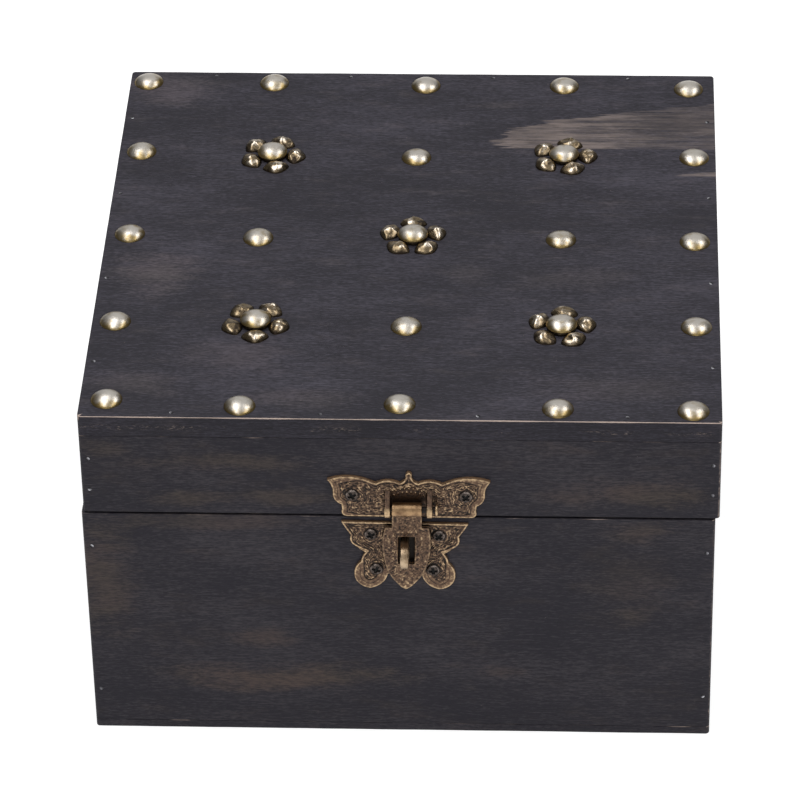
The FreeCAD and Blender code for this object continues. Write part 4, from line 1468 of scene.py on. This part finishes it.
    def shell(self, extra: Callable[[Array, Array, Array], tuple]) -> Shell:
        """Closed surface of the plate: each line goes over the front and back along the wall.

        Args:
            extra: Function of the spots, heights and shades that adds a form of one plate's own.

        Returns:
            A shell with the plate, in the frame of the solids.
        """
        spots = self.grid()
        height, shade = extra(spots, *self.relief(spots))
        front = np.stack([spots[..., 0], -self.thickness - height, spots[..., 1]], axis=-1)
        step = self.edge_radius + 0.06 - self.thickness
        depth = np.broadcast_to([step, 0.0, 0.0, step], (len(spots), 4))
        ends = spots[:, [-1, -1, 0, 0]]
        back = np.stack([ends[..., 0], depth, ends[..., 1]], axis=-1)
        rings = tilted(np.concatenate([front, back], axis=1), self.tilt) + self.place
        shell = Shell()
        shell.add(rings, np.concatenate([shade, np.full(depth.shape, self.side_shade)], axis=1))
        return shell


@dataclass
class Hasp:
    """Butterfly hasp: two relief plates, ears with a pin, a slotted tongue on a barrel, a staple and screws.

    Attributes:
        front: Place of the wall's front face.
        upper_place, lower_place: Middle of each plate's straight edge, its datum, x and z.
        axis: Pin's line, y and z.
        upper_tilt, lower_tilt: Angles that the plates were screwed on at.
        slot_middle: Middle of the tongue's slot, x and z.
        ear_top: Height at which an ear's web meets the plate.
        ear_reach: Distance of an ear's middle from the plate's.
        tongue_back: Place of the tongue's back face.
        hang: Slope at which the tongue hangs off its upright.
        slot_half: Half the slot's width and height.
        eye: Middle of its eye, y and z.
        upper_screws, lower_screws: Screws of each plate from its datum, on the right.
    """

    front: float = -100.0
    plate_thickness: float = 1.2
    upper_place: Pair = (3.7, 88.4)
    lower_place: Pair = (2.3, 86.0)
    axis: Pair = (-103.6, 93.3)
    upper_tilt: float = math.radians(-0.4)
    lower_tilt: float = math.radians(-0.8)
    slot_middle: Pair = (3.2, 76.5)
    ear_radius: float = 2.65
    ear_thickness: float = 1.75
    ear_top: float = 99.0
    ear_reach: float = 6.625
    barrel_radius: float = 2.3
    barrel_length: float = 9.4
    bore_radius: float = 1.04
    tongue_back: float = -101.7
    tongue_thickness: float = 1.4
    tongue_edge: float = 0.3
    hang: float = 0.026
    slot_half: Pair = (2.625, 5.4)
    slot_clearance: float = 0.6
    staple_width: float = 2.65
    staple_half_height: float = 4.2
    eye: Pair = (-105.8, 76.5)
    eye_radius: float = 2.2
    screw_size: Pair = (2.1, 1.1)
    screw_turns: Pair = (0.45, 0.4)
    upper_screws: tuple[Pair, ...] = ((17.8, 8.6),)
    lower_screws: tuple[Pair, ...] = ((10.7, -4.5), (9.0, -18.3))

    def build(self) -> None:
        """Build and dress the hasp."""
        self.upper_plate()
        self.lower_plate()
        self.tongue()
        self.barrel()
        self.staple()
        self.pin()
        seat = self.front - self.plate_thickness
        for part, body, (x, z), tilt, screws in (
                ("upper", "lid", self.upper_place, self.upper_tilt, self.upper_screws),
                ("lower", "base", self.lower_place, self.lower_tilt, self.lower_screws)):
            offsets = [(side * right, up) for right, up in screws for side in (-1.0, 1.0)]
            build_screws("hasp_" + part + "_screws", body, self.screw_size, self.screw_turns, (x, seat, z),
                         offsets, -1.0, tilt)

    def upper_plate(self) -> None:
        """Build the upper wings with a sunk arch between two ears, all one casting."""
        tip = (25.6, 14.2)
        top = traced([(13.0, 14.2), ((19.3, 15.5), tip)])
        lower = [
            traced([(0.0, 0.0), (2.9, 0.0)]),
            traced([(2.9, 0.0), (13.0, 0.0)]),
            traced([(13.0, 0.0), (19.6, 0.0)]),
            traced([(19.6, 0.0), ((20.9, 0.8), (21.0, 2.4)), (21.2, 4.6), ((23.1, 6.2), (23.8, 8.9)),
                    ((24.2, 11.8), tip)])]
        upper = [
            traced([(0.0, 17.5), ((0.75, 17.0), (0.9, 15.8)), ((1.7, 14.0), (2.9, 13.2))]),
            traced([(2.9, 13.2), ((6.5, 14.2), (10.4, 13.0)), (13.0, 14.2)]),
            spaced(top, 60, 0.0, 0.4),
            spaced(top, 80, 0.4, 1.0)]
        plate = ReliefPlate(
            lower, upper, columns=(26, 58, 40, 84), rows=76,
            place=(self.upper_place[0], self.front, self.upper_place[1]), screws=self.upper_screws,
            rim=0.8, wide_rim=2.6, wide_from=(1.0, 0.1, 15.0, 25.0), swirl=0.8, seed=21,
            tilt=self.upper_tilt, thickness=self.plate_thickness)
        shell = plate.shell(self.arch)
        for side in (-1.0, 1.0):
            self.ear(shell, side)
        shell.piece("hasp_upper_plate_cast", "lid", HASP_BRONZE, "hasp_upper_plate")

    def arch(self, spots: Array, height: Array, shade: Array) -> tuple:
        """Sunk panel behind the barrel: a round-topped area with two rows of beads along its arch.

        Args:
            spots: Places on the plate, from its datum.
            height: Relief so far.
            shade: Shade so far.

        Returns:
            Relief and shade with the panel.
        """
        half, spring, rise, depth = 5.75, 8.8, 2.9, 0.5
        row_pitch, bead_pitch, bead_height = 1.4, 1.35, 0.16
        x, z = spots[..., 0], spots[..., 1]
        crown = spring + rise * np.sqrt(np.clip(1.0 - (x / half) ** 2, 0.0, 1.0))
        inside = np.minimum(half - np.abs(x), crown - z)
        sunk = smooth_step(0.0, 0.3, inside)
        row = (crown - z) / row_pitch
        bead = np.cos(math.tau * (x / bead_pitch + 0.5 * np.floor(row))) * np.sin(math.pi * row) ** 2
        beaded = smooth_step(0.2, 0.7, bead) * smooth_step(0.25, 0.5, inside) * (row < 2.0)
        lip = np.exp(-((inside + 0.35) / 0.3) ** 2) * (z > 1.0)
        height = height * (1.0 - sunk) - sunk * depth + bead_height * beaded * sunk + 0.05 * lip
        shade = shade * (1.0 - sunk) + sunk * (0.3 + 0.5 * beaded) + 0.2 * lip
        return height, np.clip(shade, 0.0, 1.0)

    def ear(self, shell: Shell, side: float) -> None:
        """Add one ear: a round eye about the pin with a web that slopes up to the plate, its edges rounded.

        The web leaves the eye at the tangent from the root: the bearing of the root less the arc cosine of
        the eye's radius over the root's distance.

        Args:
            shell: Shell of the casting.
            side: -1 for the left ear and 1 for the right.
        """
        edge_radius = 0.3
        axis = np.array(self.axis)
        root = np.array([self.front - self.plate_thickness, self.ear_top])
        inside = self.front - self.plate_thickness / 2.0
        away = root - axis
        bearing = math.atan2(away[1], -away[0]) - math.acos(self.ear_radius / float(np.hypot(*away)))
        angle = np.linspace(bearing, -math.pi / 2.0, 30)
        eye = axis + self.ear_radius * np.column_stack([-np.cos(angle), np.sin(angle)])
        web = spaced(np.array([root, eye[0]]), 8)[:-1]
        sole = np.array([[inside, eye[-1][1]], [inside, self.ear_top]])
        outline = closed_curve(np.concatenate([web, eye, sole]))
        middle = self.upper_place[0] + side * self.ear_reach
        half = self.ear_thickness / 2.0
        rings, wear = prism(outline, middle - half, middle + half, edge_radius, 3, (0.96, 0.8))
        # Painted shade darkens the web above the eye, and a painted highlight lightens the eye's front, with
        # its rubbed edges
        fore = smooth_step(axis[0] + 1.0, axis[0] - 1.8, rings[..., 0])
        fore = fore * smooth_step(axis[1] + 2.6, axis[1] + 1.2, rings[..., 1])
        shell.add(rings[..., [2, 0, 1]], np.clip(0.4 + 0.4 * fore + 0.3 * wear * fore, 0.0, 1.0))

    def lower_plate(self) -> None:
        """Build the lower wings and their two lobes."""
        lobe = traced([(5.4, -20.6), ((7.6, -24.6), (11.0, -26.3)), ((14.5, -24.6), (16.0, -20.4))])
        foot = traced([(0.0, -18.0), (5.4, -20.6)])
        lower = [
            spaced(foot, 40, 0.0, 0.33),
            spaced(foot, 40, 0.33, 0.66),
            np.concatenate([spaced(foot, 30, 0.66, 1.0)[:-1], lobe])]
        upper = [
            traced([(0.0, 0.0), (20.0, 0.0)]),
            traced([(20.0, 0.0), ((18.6, -2.6), (17.0, -5.2)), ((17.1, -7.6), (15.8, -9.3)),
                    ((13.9, -10.5), (11.9, -11.4))]),
            traced([(11.9, -11.4), ((13.2, -13.4), (13.8, -15.6)), ((15.4, -17.8), (16.0, -20.4))])]
        plate = ReliefPlate(
            lower, upper, columns=(92, 74, 92), rows=84,
            place=(self.lower_place[0], self.front, self.lower_place[1]), screws=self.lower_screws,
            rim=0.7, wide_rim=3.0, wide_from=(0.0, -1.0, 15.0, 20.0), swirl=0.7, seed=33,
            tilt=self.lower_tilt, thickness=self.plate_thickness)
        shell = plate.shell(self.painted_shade_window)
        shell.piece("hasp_lower_plate_cast", "base", HASP_BRONZE, "hasp_lower_plate")

    def painted_shade_window(self, spots: Array, height: Array, shade: Array) -> tuple:
        """Sunk panel round the staple's foot, painted dark as the shade behind the tongue's slot.

        Args:
            spots: Places on the plate, from its datum.
            height: Relief so far.
            shade: Shade so far.

        Returns:
            Relief and shade with the panel.
        """
        depth = 0.6
        offset = np.abs(spots + self.lower_place - self.slot_middle) - self.slot_half - self.slot_clearance
        sunk = smooth_step(0.0, -0.3, offset.max(axis=-1))
        # Painted shade: the sunk panel goes black behind the slot
        return height * (1.0 - sunk) - depth * sunk, shade * (1.0 - sunk)

    def tongue(self) -> None:
        """Build the pebbled shield with its slot and neck.

        The shield is rings between the slot and the outline, both read at the same bearings from the slot's
        middle. Its face is noise of two sizes, with a smooth border, and a fine raised line that arches over
        the slot. Its back is flat and dull, and its sides are raw.
        """
        pebble_depth, pebble_sunk, line_height = 0.22, 0.16, 0.04
        border_shade, low_shade, pebble_shade = 0.62, 0.08, 0.68
        neck = self.barrel_length / 2.0
        half = traced([(0.0, 16.0), (neck, 16.0), (neck, 9.0), (6.9, 9.0), ((7.65, 3.0), (6.9, -4.2)),
                       ((5.2, -9.6), (2.6, -13.4)), ((1.4, -14.7), (0.0, -15.6))])
        outer = np.concatenate([half, half[-2:0:-1] * (-1.0, 1.0)])
        corner = np.array(self.slot_half)
        slot = rounded_rectangle(-corner, corner, (0.3,) * 4, 0.15).points
        bearing = full_turn(440)
        unit = np.column_stack([np.cos(bearing), np.sin(bearing)])
        inner, rim = (reach_at(loop, bearing)[:, None] * unit for loop in (slot, outer))
        even = np.linspace(0.0, 1.0, 46)
        share = (0.7 * even + 0.3 * (0.5 - 0.5 * np.cos(math.pi * even)))[:, None, None]
        spots = inner * (1.0 - share) + rim * share
        from_edge = distance_to(outer, spots)
        from_slot = distance_to(slot, spots)
        pebble = 0.5 + 0.3 * Lattice(61).over(spots, 0.6, 30.0) + 0.35 * Lattice(62).over(spots, 0.34, 50.0)
        inside = smooth_step(0.3, 0.7, from_edge) * smooth_step(0.15, 0.5, from_slot)
        line = np.exp(-((from_slot - 2.0) / 0.22) ** 2) * smooth_step(2.0, 5.0, spots[..., 1])
        height = inside * (pebble_depth * pebble - pebble_sunk) + line_height * line
        height = height - rounded_drop(np.minimum(from_edge, from_slot), self.tongue_edge)
        tip = smooth_step(-9.0, -15.0, spots[..., 1])
        shade = inside * (low_shade + pebble_shade * pebble) + (1.0 - inside) * border_shade
        shade = shade + 0.1 * line + 0.15 * tip
        across = np.array([1.0, 1.0, 0.97, 0.8, 0.6, 0.4, 0.2, 0.03, 0.0, 0.0])[:, None, None]
        behind = inner * (1.0 - across) + rim * across
        level = np.zeros(behind.shape[:2])
        level[[0, -1]] = -self.tongue_thickness / 4.0
        dull = 0.36 + 0.2 * Lattice(63).over(behind, 1.3, 30.0)
        dull[[0, -1]] = ReliefPlate.side_shade
        places = np.concatenate([spots, behind])
        depth = np.concatenate([-self.tongue_thickness - height, level])
        rings = np.stack([places[..., 0], depth, places[..., 1]], axis=-1)
        rings[..., 0] += self.hang * (rings[..., 2] + self.slot_middle[1] - self.axis[1])
        rings += (self.slot_middle[0], self.tongue_back, self.slot_middle[1])
        shell = Shell()
        shell.add(rings, np.concatenate([np.clip(shade, 0.0, 1.0), dull]), loop=True)
        shell.piece("hasp_tongue_cast", "tongue", HASP_BRONZE, "hasp_tongue")

    def barrel(self) -> None:
        """Build the smooth barrel that the tongue hangs from: a tube with rounded ends."""
        end, r, bore = self.barrel_length / 2.0, self.barrel_radius, self.bore_radius
        soft = 0.25
        margin = 0.6
        turn = np.linspace(0.0, math.pi / 2.0, 5)
        corner = np.column_stack([r - soft + soft * np.sin(turn), end - soft + soft * np.cos(turn)])
        side = [[r, end - margin], [r, margin - end]]
        inside = [[bore, -end], [bore, end]]
        profile = np.concatenate([corner, side, (corner * (1.0, -1.0))[::-1], inside])
        shell = Shell()
        shell.add(revolved(profile, 64)[..., [2, 0, 1]] + (self.slot_middle[0], *self.axis), loop=True)
        shell.piece("hasp_barrel_brushed", "tongue", BRUSHED_BRONZE, "hasp_tongue")

    def pin(self) -> None:
        """Build the pin: a rod through both ears, peened on the left, with a flat head on the right."""
        clearance, head = 0.04, 1.95
        # The rod is painted dark, as the shade between the ears and the head
        rod_painted_shade, head_shade = 0.02, 0.85
        reach = self.ear_reach + self.ear_thickness / 2.0
        shaft = self.bore_radius - clearance
        left, right = -reach - 0.2, reach + 0.9
        profile = np.array([
            [0.4 * shaft, left - 0.08], [0.8 * shaft, left - 0.05], [shaft, left + 0.1], [shaft, left + 0.3],
            [shaft, right - 0.2], [shaft, right], [head - 0.15, right], [head, right + 0.12],
            [head, right + 0.65], [head - 0.2, right + 0.8], [0.5 * head, right + 0.86]])
        rings = revolved(profile, 40)[..., [2, 0, 1]] + (self.upper_place[0], *self.axis)
        shell = Shell()
        shell.add(rings, np.where(profile[:, 1:] < right, rod_painted_shade, head_shade))
        shell.piece("hasp_pin_bronze", "lid", HASP_BRONZE, "hasp_pin")

    def staple(self) -> None:
        """Build the staple: a round-nosed lug with a round eye, as rings from the eye over the nose and on.

        The outline and the eye are read at the same bearings from the eye's middle, and both edges are
        quarter rounds.
        """
        soft, lip = 0.45, 0.25
        tall = self.staple_half_height
        foot = self.front - self.eye[0]
        nose = traced([(0.0, tall), ((-tall, 0.0), (0.0, -tall)), (foot, -tall), (foot, tall), (0.0, tall)])
        bearing = full_turn(200)
        far = reach_at(nose[:-1], bearing)
        turn = np.linspace(0.0, math.pi / 2.0, 6)[:, None]
        inner = self.eye_radius + lip * (1.0 - np.cos(turn)) * np.ones_like(far)
        outer = far - soft * (1.0 - np.sin(turn))
        drop = np.concatenate([lip * (1.0 - np.sin(turn)), soft * (1.0 - np.cos(turn))])
        radius = np.concatenate([inner, outer])
        side = self.staple_width / 2.0 - drop * np.ones_like(far)
        face = np.stack([side, radius * np.cos(bearing), radius * np.sin(bearing)], axis=-1)
        rings = np.concatenate([face, face[::-1] * (-1.0, 1.0, 1.0)]) + (self.lower_place[0], *self.eye)
        shell = Shell()
        shell.add(rings, loop=True)
        shell.piece("hasp_staple_brushed", "base", STAPLE_BRONZE, "hasp_staple")


def screw_head(radius: float, height: float, turn: float) -> tuple[Array, Array]:
    """Pan head with a cross recess, about the origin.

    At a share s of the radius its height is height times (1 - s^3)^0.55. It is sunk where the point lies
    inside either of two bars that cross, and the recess gets shallower towards their ends.

    Args:
        radius: Radius of the head.
        height: Height of the head.
        turn: Angle that the cross is turned by.

    Returns:
        Its rings, and a shade with painted shade that blackens the cross and a painted highlight ring near
        the rim.
    """
    around, fullness = 112, 0.55
    recess, shallower = 0.75, 0.35
    plain_shade, ring_highlight = 0.45, 0.45
    share = np.concatenate([np.sin(np.linspace(math.pi / 2.0, 0.9, 12)), np.linspace(0.77, 0.01, 34)])
    rings = revolved(np.column_stack([radius * share, height * (1.0 - share ** 3) ** fullness]), around)
    along = rings[..., 0] * math.cos(turn) + rings[..., 1] * math.sin(turn)
    across = rings[..., 1] * math.cos(turn) - rings[..., 0] * math.sin(turn)
    half, reach = 0.22 * radius, 0.66 * radius
    crossing = ((along, across), (across, along))
    bars = [np.minimum(half - np.abs(one), reach - np.abs(two)) for one, two in crossing]
    sunk = smooth_step(-0.04, 0.1, np.maximum(*bars))
    middle = np.hypot(along, across) / reach
    rings[..., 2] -= sunk * height * (recess - shallower * middle)
    # Painted highlight in a ring near the rim, and painted shade that blackens the cross recess
    ring = np.exp(-((share[:, None] - 0.86) / 0.1) ** 2)
    return rings, np.clip((plain_shade + ring_highlight * ring) * (1.0 - sunk), 0.0, 1.0)


def build_screws(node: str, body: str, size: Pair, turns: Pair, datum: Triple, offsets: Sequence[Pair],
                 facing: float, tilt: float = 0.0) -> None:
    """Build one group of screws on a wall.

    Args:
        node: CAD node that they stand for.
        body: CAD body that they ride on.
        size: Radius and height of a head.
        turns: Turn of the first cross, and the turn from each to the next.
        datum: Place that they are set out from.
        offsets: Their places from it, x and z.
        facing: -1 on the front wall and 1 on the back.
        tilt: Angle that all of them are turned by about the datum.
    """
    shell = Shell()
    for index, (x, z) in enumerate(offsets):
        rings, shade = screw_head(*size, turns[0] + turns[1] * index)
        rings = rings[..., [0, 2, 1]] * (1.0, facing, 1.0) + (x, 0.0, z)
        shell.add(tilted(rings, tilt) + datum, shade)
    shell.piece(node + "_blackened", body, SCREW_STEEL, node)


# Hinges


def dress(node: str, finish: AgedMetal) -> None:
    """Give a CAD node that keeps its own shape a finish.

    Args:
        node: Name of the node.
        finish: Its finish.
    """
    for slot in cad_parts[node].material_slots:
        slot.material = finish.material
    LOG.info("%s: keeps its solid, dressed in %s", node, finish.name)


@dataclass
class Hinges:
    """Two rolled butt hinges on the back. Leaves and pins keep their solids, and screws get modelled heads.

    Attributes:
        sides: Names of the hinges.
        reach: Hinges' middles, from the chest's middle.
        spread: Screws, from a hinge's middle.
        line: Height of the hinge line.
        seat: Face of the leaves, where the screw heads sit.
        screw_rise: Screws, from the hinge line.
    """

    sides: tuple[str, ...] = ("left", "right")
    reach: float = 59.7
    spread: float = 9.5
    line: float = 87.9
    seat: float = 100.85
    screw_rise: float = 7.0
    screw_size: Pair = (1.6, 0.7)
    screw_turns: Pair = (0.3, 0.7)

    def build(self) -> None:
        """Dress the leaves, pins and screws."""
        for side in self.sides:
            dress("hinge_" + side + "_base_leaf", HINGE_BRONZE)
            dress("hinge_" + side + "_lid_leaf", HINGE_BRONZE)
            dress("hinge_" + side + "_pin", WIRE_STEEL)
        middles = (-self.reach, self.reach)
        offsets = [(middle + side, 0.0) for middle in middles for side in (-self.spread, self.spread)]
        for body, rise in (("base", -self.screw_rise), ("lid", self.screw_rise)):
            build_screws("hinge_" + body + "_screws", body, self.screw_size, self.screw_turns,
                         (0.0, self.seat, self.line + rise), offsets, 1.0)


# Studio


@dataclass
class Studio:
    """Pale floor, two long soft boxes overhead, a room that is palest above and in front, and the camera.

    The camera is given in millimetres, and the floor and the soft boxes in metres.

    Attributes:
        right: Direction of the picture's right side.
        lens: Focal length for the film's width.
        floor_glow: Light that makes the floor white to the camera.
        box_ends: Far and near end of each soft box, x and y.
        aim: Place that the soft boxes face.
        strip_level: Room's level in a strip from front to back.
        front_level: Level that the front wall adds.
    """

    camera_place: Triple = (62.193, -1251.348, 979.546)
    forward: Triple = (-0.04239826, 0.80498763, -0.59177471)
    right: Triple = (0.99904593, 0.04036569, -0.0166684)
    lens: float = 208.8
    film: float = 36.0
    floor_half: float = 6.0
    floor_colour: str = "bcbcbc"
    floor_glow: float = 0.76
    box_ends: tuple[tuple[Pair, Pair], ...] = (
        ((-0.36, 0.9), (-0.52, -1.3)), ((0.72, 0.9), (1.1, -1.3)))
    box_height: float = 1.5
    box_width: float = 0.5
    box_power: float = 11.5
    aim: Triple = (0.0, 0.0, 0.1)
    side_level: float = 0.1
    strip_level: float = 0.6
    front_level: float = 0.32

    def build(self) -> None:
        """Set up the view, the floor, the lights and the camera."""
        bpy.context.scene.view_settings.view_transform = "Standard"
        self.floor()
        self.room()
        for back, front in self.box_ends:
            self.soft_box(back, front)
        self.camera()

    def floor(self) -> None:
        """Lay a pale floor that shows white to the camera and keeps the object's shadow."""
        half = self.floor_half
        corners = [(-half, -half, 0.0), (half, -half, 0.0), (half, half, 0.0), (-half, half, 0.0)]
        mesh = bpy.data.meshes.new("floor")
        mesh.from_pydata(corners, [], [(0, 1, 2, 3)])
        tree = NodeTree(bpy.data.materials.new("pale_matt_floor"))
        kinds = ("Is Camera Ray", "Is Glossy Ray", "Is Transmission Ray")
        rays = [tree.add("LightPath", out=kind) for kind in kinds]
        seen = tree.add("Math", {0: tree.add("Math", {0: rays[0], 1: rays[1]}), 1: rays[2]}, use_clamp=True)
        matt = tree.add("BsdfDiffuse", {"Color": linear(self.floor_colour)})
        glow = tree.add("Emission", {"Color": linear("ffffff"), "Strength": self.floor_glow})
        lit = tree.add("AddShader", {0: matt, 1: glow})
        tree.add("OutputMaterial", {"Surface": tree.add("MixShader", {0: seen, 1: matt, 2: lit})})
        mesh.materials.append(tree.owner)
        linked("floor", mesh)

    def room(self) -> None:
        """Light the scene from all round: dim sides, a pale strip from front to back and a paler front wall.

        The strength is a smooth step of how far the direction leans to a side, plus one of how far it points
        to the front.
        """
        tree = NodeTree(bpy.data.worlds.new("studio_room"))
        toward = tree.add("TexCoord", out="Generated")
        depth = tree.add("SeparateXYZ", {0: toward}, out=1)
        lean = tree.add("Math", {0: tree.add("SeparateXYZ", {0: toward}, out=0)}, operation="ABSOLUTE")
        strip = tree.add("MapRange", {
            "Value": lean, "From Min": 0.6, "From Max": 0.15, "To Min": self.side_level,
            "To Max": self.strip_level}, **SMOOTH)
        wall = tree.add("MapRange", {
            "Value": depth, "From Min": -0.75, "From Max": -0.97, "To Max": self.front_level}, **SMOOTH)
        level = tree.add("Math", {0: strip, 1: wall}, **PLUS)
        background = tree.add("Background", {"Color": linear("ffffff"), "Strength": level})
        tree.add("OutputWorld", {"Surface": background})
        bpy.context.scene.world = tree.owner

    def soft_box(self, back: Pair, front: Pair) -> None:
        """Hang one long soft box level over one side of the object, facing it.

        Args:
            back: Place of its far end, x and y.
            front: Place of its near end, x and y.
        """
        start, end = (Vector((*corner, self.box_height)) for corner in (back, front))
        middle, along = (start + end) / 2.0, end - start
        lamp = bpy.data.lights.new("soft_box", "AREA")
        lamp.shape = "RECTANGLE"
        lamp.size, lamp.size_y = self.box_width, along.length
        lamp.energy = self.box_power
        box = linked("soft_box", lamp)
        length = along.normalized()
        across = length.cross(middle - Vector(self.aim)).normalized()
        turn = Matrix((across, length, across.cross(length))).transposed()
        box.matrix_world = Matrix.Translation(middle) @ turn.to_4x4()

    def camera(self) -> None:
        """Set the camera at the photograph's place and angle."""
        data = bpy.data.cameras.new("camera")
        data.lens = self.lens
        data.sensor_width = self.film
        camera = linked("camera", data)
        right, ahead = Vector(self.right).normalized(), Vector(self.forward).normalized()
        turn = Matrix((right, right.cross(ahead), -ahead)).transposed()
        camera.matrix_world = Matrix.Translation(Vector(self.camera_place) * MM) @ turn.to_4x4()
        bpy.context.scene.camera = camera


def main() -> None:
    """Build every sub-assembly and the studio in order."""
    logging.basicConfig(level=logging.INFO, format="%(name)s: %(message)s")
    for assembly in (Case(), LidFittings(), Brads(), Hasp(), Hinges(), Studio()):
        LOG.info("building %s", type(assembly).__name__)
        assembly.build()


if __name__ == "__main__":
    main()
